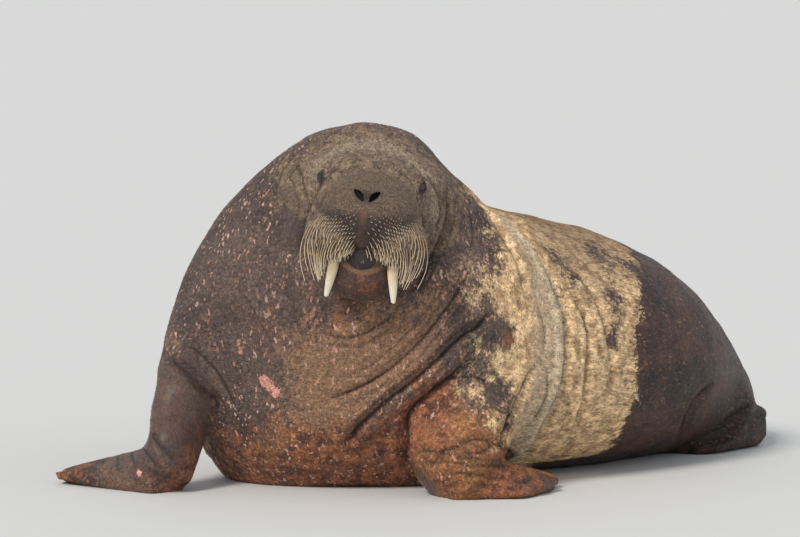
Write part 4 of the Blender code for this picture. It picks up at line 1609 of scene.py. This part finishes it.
        # The muzzle, lips, lids and nostrils; the lids' dark skin carries painted shade round the
        # eyes, and the nostrils are painted near-black as shade.
        lower = w.blend(w.step(swells, 0.35, 0.65, 0, 0.5), self.snout, self.olive_deep)
        lower = w.blend(w.field("stubble"), lower, self.pad)
        grain = w.step(w.noise(place, 210, 3, 0.7), 0.40, 0.60, 0.60, 1.45)
        lower = w.blend(1.0, lower, w.grey(grain), "MULTIPLY")
        colour = w.blend(w.times(w.field("snout"), 0.95), colour, lower)
        colour = w.blend(w.times(w.most(head, w.field("snout")), 0.7), colour, w.grey(mottle),
                         "MULTIPLY")
        # Reddish-brown under the jaw, darkened as painted shade.
        colour = w.blend(w.times(w.field("chin"), 0.45), colour, self.rust_deep)
        colour = w.blend(w.times(w.field("pink"), w.step(swells, 0.3, 0.6, 0.20, 0.60)), colour,
                         self.pink)
        # Darker hide on the arms and hands, with painted shade on the muzzle's sides, the cheek
        # and the chest, and painted shadow below the tusks.
        dark_skin_and_painted_shade = w.step(w.plus(w.field("dark_skin_and_painted_shade"), w.times(ragged, 0.4)), 0.05, 0.95, 0, 0.85)
        colour = w.blend(dark_skin_and_painted_shade, colour, self.dark_skin_and_painted_shade)
        for name, share, tone in (("lip_rim", 0.7, self.warm), ("lip", 1.0, self.lip),
                                  ("lid", 0.85, self.lid), ("recess_shade", 1.0, self.recess_shade)):
            colour = w.blend(w.times(w.field(name), share), colour, tone)
        # Scars, thick on the chest, and sores.
        thick = w.step(w.noise(place, 6, 3, 0.6), 0.34, 0.55, 0.3, 1)
        scars = w.times(self.flecks(w, place), thick)
        for bar in (w.times(tan, 0.9), w.times(wet, 0.8), w.times(head, 0.8), w.field("snout"),
                    w.field("hand"), w.step(w.field("dark_skin_and_painted_shade"), 0.05, 0.3),
                    w.times(w.field("chin"), 0.9)):
            scars = w.without(scars, bar)
        tone = w.blend(w.step(swells, 0.42, 0.58), self.fleck, self.fleck_warm)
        colour = w.blend(w.times(scars, 0.85), colour,
                         w.blend(0.8, tone, w.grey(mottle), "MULTIPLY"))
        sore = w.plus(w.field("wound"), w.swing(w.noise(place, 90, 4, 0.7), 1.6))
        colour = w.blend(w.step(sore, 0.45, 0.60), colour,
                         w.blend(1.0, self.wound, w.grey(mottle), "MULTIPLY"))
        # Painted shade along the creases.
        colour = w.blend(w.times(w.field("crease"), 0.88), colour, self.recess_shade)
        for name, made in (("Color", colour), ("Wet", wet), ("Scars", scars), ("Furry", furry)):
            w.put(end.inputs[name], made)
        return tree

    def flecks(self, w: Wires, place: Socket) -> Socket:
        """The flecks of scars, drawn out up and down, in several sizes and leanings.

        Args:
            w: The group's wires.
            place: The place on the hide.

        Returns:
            The socket of how much scar there is.
        """
        found = None
        for lean, scale, stretch, share, size in (
            (0.1, 34, 0.34, 0.58, 0.13), (-0.4, 46, 0.32, 0.42, 0.20),
            (0.4, 62, 0.34, 0.38, 0.25), (0.0, 95, 0.45, 0.40, 0.30),
            (-0.6, 40, 0.09, 0.70, 0.03), (0.35, 48, 0.08, 0.70, 0.03),
        ):
            turned = w.fed("ShaderNodeVectorRotate", {"Vector": place, "Angle": lean},
                           rotation_type="Y_AXIS")
            drawn = w.stretched(turned.outputs[0], 1, 1, stretch)
            twist = w.wavering(drawn, place, scale * 1.6, 0.75 / scale)
            cells = w.fed("ShaderNodeTexVoronoi", {"Vector": twist, "Scale": scale})
            pick = w.fed("ShaderNodeSeparateColor", {0: cells.outputs["Color"]})
            chosen = w.sum_of("GREATER_THAN", pick.outputs[0], share)
            reach = w.plus(w.times(pick.outputs[1], size), 0.07)
            inner = w.sum_of("SUBTRACT", reach, cells.outputs["Distance"])
            spot = w.times(chosen, w.step(inner, -0.01, 0.05))
            found = spot if found is None else w.most(found, spot)
        return found


@dataclass(frozen=True)
class LeatherGrain:
    """The group of fine wrinkles that the colours and the relief of the hide share."""

    def group(self) -> Tree:
        """Builds the group.

        Returns:
            A group that puts out how far each place is from a wrinkle, and the hairs' height.
        """
        value = "NodeSocketFloat"
        tree, w, _, end = shader_group("leather_grain", {}, {"Net": value, "Hairs": value})
        flow = w.sense("flow")
        bent = w.wavering(w.stretched(flow, 1.6, 0.8, 0.8), flow, 45, 0.012)
        net = None
        for scale, wide, share in ((78, 0.20, 0.45), (165, 0.25, 0.35)):
            cells = w.fed("ShaderNodeTexVoronoi", {"Vector": bent, "Scale": scale},
                          feature="DISTANCE_TO_EDGE")
            part = w.times(w.step(cells.outputs["Distance"], 0.0, wide), share)
            net = part if net is None else w.plus(net, part)
        lines = w.noise(w.stretched(flow, 2.6, 0.6, 0.6), 42, 5, 0.65, 0.8)
        net = w.plus(net, w.step(lines, 0.35, 0.6, 0, 0.2))
        w.put(end.inputs["Net"], net)
        w.put(end.inputs["Hairs"], w.noise(w.stretched(flow, 0.35, 1, 1), 210, 4, 0.75))
        return tree


@dataclass(frozen=True)
class HideFinish:
    """The finish of the skin: stippled short fur, wrinkles, and a wet sheen at the rear."""

    colours: Tree
    grain: Tree
    film: float = 0.25
    film_rough: float = 0.42
    shine: float = 0.42
    relief: float = 0.0042

    def material(self) -> Material:
        """Builds the material.

        Returns:
            The material of the skin.
        """
        made, w, shader = new_finish("wrinkled_hide")
        colours = w.node("ShaderNodeGroup", node_tree=self.colours)
        grain = w.node("ShaderNodeGroup", node_tree=self.grain)
        w.put(colours.inputs["Net"], grain.outputs["Net"])
        w.put(shader.inputs["Base Color"], colours.outputs["Color"])
        gloss = w.plus(w.times(colours.outputs["Wet"], 0.5), w.times(w.field("dark_skin_and_painted_shade"), 1.2))
        gloss = w.most(gloss, w.times(w.most(w.field("lid"), w.field("lip")), 0.2))
        w.put(shader.inputs["Coat Weight"], w.step(w.field("dark_skin_and_painted_shade"), 0.2, 0.6, 0.0, self.film))
        shader.inputs["Coat Roughness"].default_value = self.film_rough
        patchy = w.swing(w.noise(w.sense("flow"), 16, 4, 0.6), 0.3)
        w.put(shader.inputs["Roughness"], w.plus(w.step(gloss, 0.0, 0.7, 0.72, 0.34), patchy))
        shader.inputs["Specular IOR Level"].default_value = self.shine
        smooth = w.most(w.times(colours.outputs["Furry"], 0.55), w.times(w.field("dark_skin_and_painted_shade"), 1.4))
        smooth = w.sum_of("MINIMUM", smooth, 0.85)
        height = w.without(grain.outputs["Net"], w.most(smooth, w.times(w.field("snout"), 0.6)))
        height = w.plus(height, w.without(grain.outputs["Hairs"], w.times(smooth, 0.3)))
        height = w.plus(height, w.times(colours.outputs["Scars"], -0.25))
        bump = w.fed("ShaderNodeBump", {
            "Strength": 1.0, "Distance": self.relief, "Height": height,
        })
        w.put(shader.inputs["Normal"], bump.outputs[0])
        return made


@dataclass(frozen=True)
class CoatFinish:
    """The finish of the tufts: the hide's own markings, lighter or darker from tuft to tuft."""

    colours: Tree

    def material(self) -> Material:
        """Builds the material.

        Returns:
            The material of the tufts.
        """
        made, w, shader = new_finish("short_fur")
        colours = w.node("ShaderNodeGroup", node_tree=self.colours)
        colours.inputs["Stipple"].default_value = 0.6
        tone = w.grey(w.step(w.field("tint"), 0.0, 1.0, 0.68, 1.40))
        w.put(shader.inputs["Base Color"],
              w.blend(1.0, colours.outputs["Color"], tone, "MULTIPLY"))
        rough = w.step(colours.outputs["Wet"], 0.0, 1.0, 0.78, 0.5)
        w.put(shader.inputs["Roughness"], rough)
        shader.inputs["Specular IOR Level"].default_value = 0.3
        return made


@dataclass(frozen=True)
class PlainFinish:
    """A finish of one substance that varies along a field and with soft noise."""

    name: str
    base: Numbers
    other: Numbers
    field_name: str
    rough: float
    coat: float = 0.0
    scale: float = 120.0
    bump: float = 0.0003

    def material(self) -> Material:
        """Builds the material.

        Returns:
            The finished material.
        """
        made, w, shader = new_finish(self.name)
        place = w.node("ShaderNodeTexCoord").outputs["Object"]
        cloudy = w.noise(w.stretched(place, 1, 1, 0.18), self.scale, 4, 0.6)
        share = w.sum_of("ADD", w.field(self.field_name), w.step(cloudy, 0.3, 0.7, -0.18, 0.18))
        w.put(shader.inputs["Base Color"], w.blend(w.step(share, 0.0, 1.0), self.base, self.other))
        w.put(shader.inputs["Roughness"], w.step(cloudy, 0.3, 0.7, self.rough * 0.8, self.rough))
        shader.inputs["Coat Weight"].default_value = self.coat
        shader.inputs["Coat Roughness"].default_value = 0.04
        relief = w.fed("ShaderNodeBump", {"Distance": self.bump, "Height": cloudy})
        w.put(shader.inputs["Normal"], relief.outputs[0])
        return made


@dataclass
class Eyes:
    """The two eyeballs, each with a raised clear front over a dark iris."""

    form: EyeForm
    frame: HeadFrame

    def build(self, side: Side, finish: Material) -> Object:
        """Makes one eyeball.

        Args:
            side: The side of the head.
            finish: Its material.

        Returns:
            The eyeball's object.
        """
        middle, way, _, _ = self.form.axes(side)
        form = bmesh.new()
        bmesh.ops.create_uvsphere(form, u_segments=48, v_segments=32, radius=1)
        turn = Vector(way).to_track_quat("Z", "Y").to_matrix()
        depth = []
        for vert in form.verts:
            front = vert.co.z
            depth.append(float(ease(np.array(front), 0.80, 0.93)))
            swell = 1 + 0.05 * float(ease(np.array(front), 0.78, 1.0))
            at = turn @ vert.co * self.form.radius * swell + Vector(middle)
            vert.co = self.frame.matrix @ at
        bmesh.ops.recalc_face_normals(form, faces=form.faces)
        return dressed(cast(f"{side.label}_eyeball", form), "pupil", np.array(depth), finish)


@dataclass
class Tusks:
    """The two tusks: round, fluted along their length, with worn tips."""

    frame: HeadFrame
    line: tuple[Numbers, ...] = (
        (0.073, -0.105, -0.130, 0.0162),
        (0.080, -0.140, -0.215, 0.0147),
        (0.086, -0.142, -0.262, 0.0112),
        (0.0905, -0.1345, -0.300, 0.0058),
    )
    sides: int = 28
    flute: float = 0.0004

    def build(self, side: Side, finish: Material) -> Object:
        """Makes one tusk.

        Args:
            side: The side of the head.
            finish: Its material.

        Returns:
            The tusk's object.
        """
        rows = spline(self.line, 14)
        rings, share = [], []
        for k, (x, y, z, radius) in enumerate(rows):
            centre = Vector((x * side.value, y, z))
            ring = []
            for i in range(self.sides):
                angle = 2 * math.pi * i / self.sides
                groove = self.flute * (math.cos(5 * angle + 0.6) + 0.6 * math.cos(9 * angle))
                reach = radius + groove * (1 - k / len(rows))
                ring.append(self.frame.matrix @ (
                    centre + Vector((math.cos(angle), math.sin(angle), 0)) * reach))
                share.append(k / (len(rows) - 1))
            rings.append(ring)
        form = bmesh.new()
        loft(form, rings, 0.75)
        root = 1 - np.array(share + [0.0, 1.0])
        return dressed(cast(f"{side.label}_ivory", form), "root", root, finish)


def grown(base: Object, tree: Tree, values: dict[str, object]) -> Object:
    """Runs a Geometry Nodes tree on an object and keeps the result as plain mesh.

    Args:
        base: The object that it starts from.
        tree: The tree.
        values: Its inputs by name.

    Returns:
        The same object with the new mesh.
    """
    modifier = base.modifiers.new(tree.name, "NODES")
    modifier.node_group = tree
    for item in tree.interface.items_tree:
        if item.in_out == "INPUT" and item.name in values:
            modifier[item.identifier] = values[item.name]
    base.data.update()
    return settled(base)


@dataclass
class Whiskers:
    """The whiskers of one pad, set in rows, with a dark collar round each root."""

    hide: Hide
    rows: int = 19
    in_row: int = 19
    root: float = 0.00110
    tip: float = 0.00060
    short: float = 0.0108
    sunk: float = 0.001
    hang: Pair = (-0.190, -0.252)
    slim: Pair = (0.82, 0.38)
    collar_radius: float = 0.0019
    collar_height: float = 0.0008
    septum: Pair = (-0.013, 0.013)
    steps: int = 6
    seed: int = 11
    sides: int = 5

    def roots(self, side: Side, tree: BVHTree) -> list[tuple[Vector, Vector, Vector]]:
        """Where the whiskers of one pad stand.

        Args:
            side: The side of the head.
            tree: The hide's surface.

        Returns:
            The place, the surface's normal, and the place in the head's frame with x outwards.
        """
        draw = np.random.default_rng(self.seed + side.value)
        place, face = self.hide.frame.matrix, self.hide.face
        centre = place @ Vector((face.pad_at[0] * side.value, *face.pad_at[1:]))
        made = []
        for row in range(self.rows):
            for i in range(self.in_row):
                low = (row + draw.uniform(-0.12, 0.12)) / (self.rows - 1)
                out = (i + (row % 2) * 0.5 + draw.uniform(-0.12, 0.12)) / self.in_row
                turn = math.asin(min(-0.68 + 1.66 * out, 0.99))
                tilt = math.radians(48 - 112 * low - 8 * out)
                way = Vector((
                    side.value * math.sin(turn) * math.cos(tilt),
                    -math.cos(turn) * math.cos(tilt),
                    math.sin(tilt),
                ))
                way = place.to_3x3() @ way
                hit, normal, _, _ = tree.ray_cast(centre + way * 0.3, -way)
                if hit is None or normal.dot(way) < 0.15:
                    continue
                local = place.inverted() @ hit
                middle = abs(local.x - self.septum[0]) < self.septum[1]
                local.x *= side.value
                facing = (place.to_3x3().inverted() @ normal).y
                inner = middle or local.x < 0 or (local.x < 0.036 and local.z < -0.172)
                low_end = local.z < (-0.184 if local.x < 0.095 else -0.200)
                above = local.z > -0.060 - 0.014 * out
                if inner or low_end or above or local.y > -0.05 or facing > -0.12:
                    continue
                out, _, long_share = self.long_share(local)
                sparse = out > 0.5 and long_share > 0.4 and row % 4
                if sparse or (out > 0.3 and long_share > 0.35 and row % 2):
                    continue
                made.append((hit, normal, local))
        return made

    def long_share(self, local: Vector) -> Triple:
        """How far out and low a root lies, and how much its whisker is one of the long ones."""
        out = min(max((local.x - 0.02) / 0.125, 0), 1)
        low = min(max((-0.095 - local.z) / 0.105, 0), 1)
        return out, low, float(ease(np.array(low + 0.55 * out**2), 0.22, 0.72))

    def path(
        self, hit: Vector, normal: Vector, local: Vector, side: Side, spare: float
    ) -> list[Vector]:
        """The line of one whisker, combed away from the middle and then hanging.

        Args:
            hit: Its root.
            normal: The surface's normal there.
            local: The root in the head's frame with x outwards.
            side: The side of the head.
            spare: A random number from -1 to 1.

        Returns:
            Its points from root to tip.
        """
        turn = self.hide.frame.matrix.to_3x3()
        outward, down = turn @ Vector((side.value, 0, 0)), turn @ Vector((0, 0, -1))
        out, low, weight = self.long_share(local)
        fall = math.radians(20 + 64 * max(out**0.9, low) + 5 * spare)
        comb = outward * math.cos(fall) + down * math.sin(fall)
        comb = (comb - normal * comb.dot(normal)).normalized()
        way = (comb + normal * (0.29 - 0.17 * out)).normalized()
        end = self.hang[0] + (self.hang[1] - self.hang[0]) * float(ease(np.array(out), 0.10, 0.95))
        full = max(local.z - end + 0.006 * spare, 0.012) * (1.02 + 0.10 * spare)
        stub = 0.35 + 0.65 * min((-0.055 - local.z) / 0.04, 1)
        short = self.short * (0.85 + 0.15 * spare) * stub
        length = short + max(full - short, 0) * weight
        forward = turn @ Vector((0, -1, 0))
        hanging = (down - outward * 0.42 * out**2 + forward * 0.07 * (1 - out)).normalized()
        at = hit - normal * self.sunk
        points = [at.copy()]
        for i in range(self.steps):
            t = (i + 0.5) / self.steps * min(length / 0.04, 1)
            at = at + way.lerp(hanging, min(1.15 * t, 1)).normalized() * length / self.steps
            points.append(at.copy())
        return points

    def build(self, side: Side, tree: BVHTree, horn: Material, collar: Material) -> list[Object]:
        """Makes the whiskers and collars of one pad.

        Args:
            side: The side of the head.
            tree: The hide's surface.
            horn: The whiskers' material.
            collar: The collars' material.

        Returns:
            The whiskers' object and the collars' object.
        """
        draw = np.random.default_rng(self.seed * 7 + side.value)
        stands = self.roots(side, tree)
        places_at: list[Vector] = []
        edges: list[tuple[int, int]] = []
        thick: list[float] = []
        for hit, normal, local in stands:
            path = self.path(hit, normal, local, side, draw.uniform(-1, 1))
            size = self.slim[0] + self.slim[1] * self.long_share(local)[2]
            for i, point in enumerate(path):
                if i:
                    edges.append((len(places_at) - 1, len(places_at)))
                places_at.append(point)
                t = i / (len(path) - 1)
                thick.append(size * (self.root + (self.tip - self.root) * t**1.6))
        mesh = bpy.data.meshes.new(f"{side.label}_whiskers")
        mesh.from_pydata([tuple(p) for p in places_at], edges, [])
        keep(mesh, "thickness", np.array(thick))
        hairs = grown(linked(mesh.name, mesh), self.hair_tree(), {
            "Sides": self.sides, "Horn": horn,
        })
        dots = bpy.data.meshes.new(f"{side.label}_whisker_collars")
        dots.from_pydata([tuple(hit) for hit, *_ in stands], [], [])
        keep(dots, "rise", np.array([tuple(normal) for _, normal, *_ in stands]))
        rings = grown(linked(dots.name, dots), self.collar_tree(), {
            "Radius": self.collar_radius, "Height": self.collar_height, "Skin": collar,
        })
        for made in (hairs, rings):
            made.data.shade_smooth()
            LOG.info("%s: %d triangles", made.name, triangles(made))
        return [hairs, rings]

    def hair_tree(self) -> Tree:
        """The tree that gives lines their round, tapered body.

        Returns:
            The tree.
        """
        tree, w, entry, end = geometry_tree("whisker_bodies", {
            "Sides": ("NodeSocketInt", 5), "Horn": ("NodeSocketMaterial", None),
        })
        curve = w.fed("GeometryNodeMeshToCurve", {"Mesh": entry.outputs["Geometry"]})
        along = w.node("GeometryNodeSplineParameter")
        note = w.fed("GeometryNodeStoreNamedAttribute", {
            "Geometry": curve.outputs["Curve"], "Name": "root", "Value": along.outputs["Factor"],
        }, data_type="FLOAT", domain="POINT")
        profile = w.fed("GeometryNodeCurvePrimitiveCircle", {
            "Resolution": entry.outputs["Sides"], "Radius": 1.0,
        })
        body = w.fed("GeometryNodeCurveToMesh", {
            "Curve": note.outputs["Geometry"], "Profile Curve": profile.outputs["Curve"],
            "Scale": w.stored("thickness", "FLOAT"), "Fill Caps": True,
        })
        w.finish(w.real(body.outputs["Mesh"]), entry.outputs["Horn"], end)
        return tree

    def collar_tree(self) -> Tree:
        """The tree that sets a low dome round each root.

        Returns:
            The tree.
        """
        tree, w, entry, end = geometry_tree("whisker_collars", {
            "Radius": ("NodeSocketFloat", 0.003), "Height": ("NodeSocketFloat", 0.001),
            "Skin": ("NodeSocketMaterial", None),
        })
        dome = w.fed("GeometryNodeMeshUVSphere", {"Segments": 6, "Rings": 4, "Radius": 1.0})
        spots = w.fed("GeometryNodeMeshToPoints", {"Mesh": entry.outputs["Geometry"]})
        turn = w.fed("FunctionNodeAlignRotationToVector",
                     {"Vector": w.stored("rise", "FLOAT_VECTOR")}, axis="Z")
        wide, high = entry.outputs["Radius"], entry.outputs["Height"]
        size = w.fed("ShaderNodeCombineXYZ", {0: wide, 1: wide, 2: high})
        many = w.fed("GeometryNodeInstanceOnPoints", {
            "Points": spots.outputs["Points"], "Instance": dome.outputs["Mesh"],
            "Rotation": turn.outputs["Rotation"], "Scale": size.outputs[0],
        })
        w.finish(w.real(many.outputs["Instances"]), entry.outputs["Skin"], end)
        return tree


@dataclass
class Coat:
    """Tufts of short fur, which lie along the body where the hide is furred."""

    hide: Hide
    pieces: int = 6
    in_piece: int = 48000
    length: float = 0.0105
    width: float = 0.0018
    section: Pair = (0.58, 0.26)
    droop: float = 0.05
    patch: Pair = (0.003, 0.0015)
    root_depth: float = 0.0008
    stray: float = 0.16
    lift: Pair = (0.06, 0.34)
    seed: int = 5

    def build(self, skin: Object, finish: Material) -> list[Object]:
        """Makes the coat in several pieces.

        Args:
            skin: The skin's object.
            finish: The tufts' material.

        Returns:
            The pieces, from the head backwards.
        """
        mesh = skin.data
        mesh.calc_loop_triangles()
        corners = np.empty(len(mesh.loop_triangles) * 3, np.int64)
        mesh.loop_triangles.foreach_get("vertices", corners)
        corners = corners.reshape(-1, 3)
        points, outward = places(mesh), normals(mesh)
        a, b, c = (points[corners[:, k]] for k in range(3))
        area = np.linalg.norm(np.cross(b - a, c - a), axis=1) / 2
        names = [layer.name for layer in mesh.attributes if layer.data_type == "FLOAT"]
        fields = {name: kept(mesh, name) for name in names}
        thick = self.thickness(points, fields)
        weight = area * thick[corners].mean(1)
        draw = np.random.default_rng(self.seed)
        total = self.pieces * self.in_piece
        chosen = draw.choice(len(corners), total, p=weight / weight.sum())
        u, v = draw.random(total), draw.random(total)
        flip = u + v > 1
        u[flip], v[flip] = 1 - u[flip], 1 - v[flip]
        shares = np.column_stack([1 - u - v, u, v])

        def read(values: Array) -> Array:
            parts = values[corners[chosen]]
            return (parts * shares.reshape(total, 3, *([1] * (values.ndim - 1)))).sum(1)

        at, rise = read(points), read(outward)
        rise /= np.linalg.norm(rise, axis=1)[:, None]
        flow, way, turn = self.hide.spine.measure(at)
        lie = way + draw.normal(0, self.stray, (total, 3))
        lie -= rise * (lie * rise).sum(1)[:, None]
        lie /= np.linalg.norm(lie, axis=1)[:, None]
        lie = lie + rise * draw.uniform(*self.lift, total)[:, None]
        unwrap = np.column_stack([
            0.02 + 0.95 * flow[:, 0] / self.hide.spine.reach[-1], 0.02 + 0.95 * turn,
            np.zeros(total),
        ])
        stored = {name: read(values) for name, values in fields.items()}
        short = 1 - 0.35 * np.clip(stored["olive"], 0, 1) - 0.25 * np.clip(stored["wet"], 0, 1)
        short -= 0.3 * np.maximum(np.clip(stored["snout"], 0, 1), np.clip(stored["hand"], 0, 1))
        size = short * draw.uniform(0.75, 1.25, total)
        stored["tint"] = draw.random(total)
        order = np.argsort(flow[:, 0])
        tree = self.tuft_tree()
        made = []
        for k in range(self.pieces):
            part = order[k * self.in_piece:(k + 1) * self.in_piece]
            roots = bpy.data.meshes.new(f"coat_{k + 1}")
            roots.from_pydata((at[part] - rise[part] * self.root_depth).tolist(), [], [])
            for name, values in stored.items():
                keep(roots, name, values[part])
            for name, values in (("flow", flow), ("rise", rise), ("lie", lie),
                                 ("unwrap", unwrap), ("size", size)):
                keep(roots, name, values[part])
            piece = grown(linked(roots.name, roots), tree, {
                "Length": self.length, "Width": self.width, "Fur": finish,
            })
            for spare in ("rise", "lie", "unwrap", "size", "patch"):
                if spare in piece.data.attributes:
                    piece.data.attributes.remove(piece.data.attributes[spare])
            LOG.info("%s: %d triangles", piece.name, triangles(piece))
            made.append(piece)
        return made

    def thickness(self, points: Array, fields: dict[str, Array]) -> Array:
        """How thick the coat grows at each vertex of the skin.

        Args:
            points: The vertices' places.
            fields: The stored fields by name.

        Returns:
            The thickness from 0 to 1.
        """
        made = 0.16 + 0.84 * ease(np.maximum(fields["tan"], fields["olive"]), 0.25, 0.75)
        made *= 1 - 0.7 * ease(fields["wet"], 0.35, 0.65)
        made *= 1 - 0.6 * np.clip(fields["hand"], 0, 1)
        made *= 1 - 0.5 * np.clip(fields["snout"], 0, 1)
        for name in ("stubble", "lip", "lid", "recess_shade", "pink", "crease"):
            made *= 1 - np.clip(fields[name], 0, 1)
        return made * ease(points[:, 2], 0.018, 0.045)

    def tuft_tree(self) -> Tree:
        """The tree that sets a tuft on each root and unwraps it at the root's place.

        Returns:
            The tree.
        """
        tree, w, entry, end = geometry_tree("fur_tufts", {
            "Length": ("NodeSocketFloat", 0.015), "Width": ("NodeSocketFloat", 0.003),
            "Fur": ("NodeSocketMaterial", None),
        })
        blade = w.fed("GeometryNodeMeshCone", {
            "Vertices": 3, "Side Segments": 1, "Fill Segments": 1, "Radius Top": 0.0,
            "Radius Bottom": 1.0, "Depth": 1.0,
        })
        at = w.node("GeometryNodeInputPosition")
        x, y, z = w.fed("ShaderNodeSeparateXYZ", {0: at.outputs[0]}).outputs
        # The tuft is flatter than it is wide, and its tip bends down.
        length, width = entry.outputs["Length"], entry.outputs["Width"]
        droop = w.times(w.times(w.sum_of("POWER", z, 2.0), self.droop), length)
        flat = w.times(w.times(y, self.section[1]), width)
        shape = w.fed("ShaderNodeCombineXYZ", {
            0: w.times(w.times(x, self.section[0]), width), 1: w.sum_of("SUBTRACT", flat, droop),
            2: w.times(z, length),
        })
        spread = w.fed("ShaderNodeCombineXYZ", {
            0: w.times(z, self.patch[0]), 1: w.times(x, self.patch[1]),
        })
        patch = w.fed("GeometryNodeStoreNamedAttribute", {
            "Geometry": blade.outputs["Mesh"], "Name": "patch", "Value": spread.outputs[0],
        }, data_type="FLOAT_VECTOR", domain="POINT")
        bend = w.fed("GeometryNodeSetPosition", {
            "Geometry": patch.outputs[0], "Position": shape.outputs[0],
        })
        spots = w.fed("GeometryNodeMeshToPoints", {"Mesh": entry.outputs["Geometry"]})
        first = w.fed("FunctionNodeAlignRotationToVector",
                      {"Vector": w.stored("lie", "FLOAT_VECTOR")}, axis="Z")
        second = w.fed("FunctionNodeAlignRotationToVector", {
            "Rotation": first.outputs[0], "Vector": w.stored("rise", "FLOAT_VECTOR"),
        }, axis="Y", pivot_axis="Z")
        many = w.fed("GeometryNodeInstanceOnPoints", {
            "Points": spots.outputs["Points"], "Instance": bend.outputs[0],
            "Rotation": second.outputs[0], "Scale": w.stored("size", "FLOAT"),
        })
        total = w.fed("ShaderNodeVectorMath", {
            0: w.stored("unwrap", "FLOAT_VECTOR"), 1: w.stored("patch", "FLOAT_VECTOR"),
        }, operation="ADD")
        unwrap = w.fed("GeometryNodeStoreNamedAttribute", {
            "Geometry": w.real(many.outputs["Instances"]), "Name": "OFBake",
            "Value": total.outputs[0],
        }, data_type="FLOAT2", domain="CORNER")
        w.finish(unwrap.outputs[0], entry.outputs["Fur"], end)
        return tree


@dataclass
class Studio:
    """A pale floor under soft light, with the camera where the photo was taken."""

    view: PhotoView
    reach: float = 120.0
    pale: Numbers = paint(206, 206, 204)
    sky: Numbers = (0.90, 0.94, 1.0, 1)
    sky_power: float = 0.62

    def build(self) -> None:
        """Makes the floor, the lights and the camera."""
        form = bmesh.new()
        bmesh.ops.create_grid(form, x_segments=4, y_segments=4, size=self.reach)
        floor = cast("studio_floor", form)
        pale, _, shader = new_finish("pale_floor")
        shader.inputs["Base Color"].default_value = self.pale
        shader.inputs["Roughness"].default_value = 0.85
        floor.data.materials.append(pale)
        for name, way, spread, power, tone in (
            ("key", (0.42, 0.62, -0.66), 16, 2.5, (1.0, 0.96, 0.90)),
            ("fill", (-0.75, 0.45, -0.35), 60, 0.35, (0.90, 0.95, 1.0)),
        ):
            lamp = bpy.data.lights.new(name, "SUN")
            lamp.angle, lamp.energy, lamp.color = math.radians(spread), power, tone
            made = bpy.data.objects.new(name, lamp)
            made.rotation_euler = Vector(way).to_track_quat("-Z", "Y").to_euler()
            bpy.context.scene.collection.objects.link(made)
        world = bpy.data.worlds.new("studio")
        world.use_nodes = True
        sky = world.node_tree.nodes["Background"]
        sky.inputs["Color"].default_value = self.sky
        sky.inputs["Strength"].default_value = self.sky_power
        bpy.context.scene.world = world
        bpy.context.scene.view_settings.view_transform = "Standard"
        self.view.camera()


def main() -> None:
    """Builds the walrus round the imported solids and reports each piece."""
    logging.basicConfig(level=logging.INFO, format="%(name)s %(message)s")
    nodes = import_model()["nodes"]
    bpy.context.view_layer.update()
    view, head = PhotoView(), HeadFrame()
    Studio(view).build()
    hide = Hide(view, head, Spine())
    skin = hide.build(nodes)
    Markings().lay(hide, skin)
    colours = HideColours().group()
    skin.data.materials.clear()
    skin.data.materials.append(HideFinish(colours, LeatherGrain().group()).material())
    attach(skin, "root")
    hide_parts(*[flesh.node for flesh in Flesh])
    ivory = PlainFinish("ivory", paint(238, 228, 204), paint(198, 172, 126), "root", 0.42,
                        0.15, 260, 0.0004).material()
    wet = PlainFinish("wet_eye", paint(44, 28, 32), paint(8, 5, 6), "pupil", 0.22, 0.3).material()
    horn = PlainFinish("whisker_horn", paint(156, 130, 102), paint(222, 203, 172), "root", 0.5,
                       0.0, 90).material()
    collar = PlainFinish("whisker_collar", paint(44, 34, 32), paint(58, 46, 44), "root",
                         0.6).material()
    tree = BVHTree.FromObject(skin, bpy.context.evaluated_depsgraph_get())
    for side in Side:
        eyeball = Eyes(hide.eye, head).build(side, wet)
        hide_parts(f"{side.label}_eye")
        tusk = Tusks(head).build(side, ivory)
        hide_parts(f"{side.label}_tusk")
        for piece, slot in ((eyeball, Slot.EYE), (tusk, Slot.IVORY)):
            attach(piece, "root")
        for piece in Whiskers(hide).build(side, tree, horn, collar):
            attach(piece, "root")
    for piece in Coat(hide).build(skin, CoatFinish(colours).material()):
        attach(piece, "root")


if __name__ == "__main__":
    main()
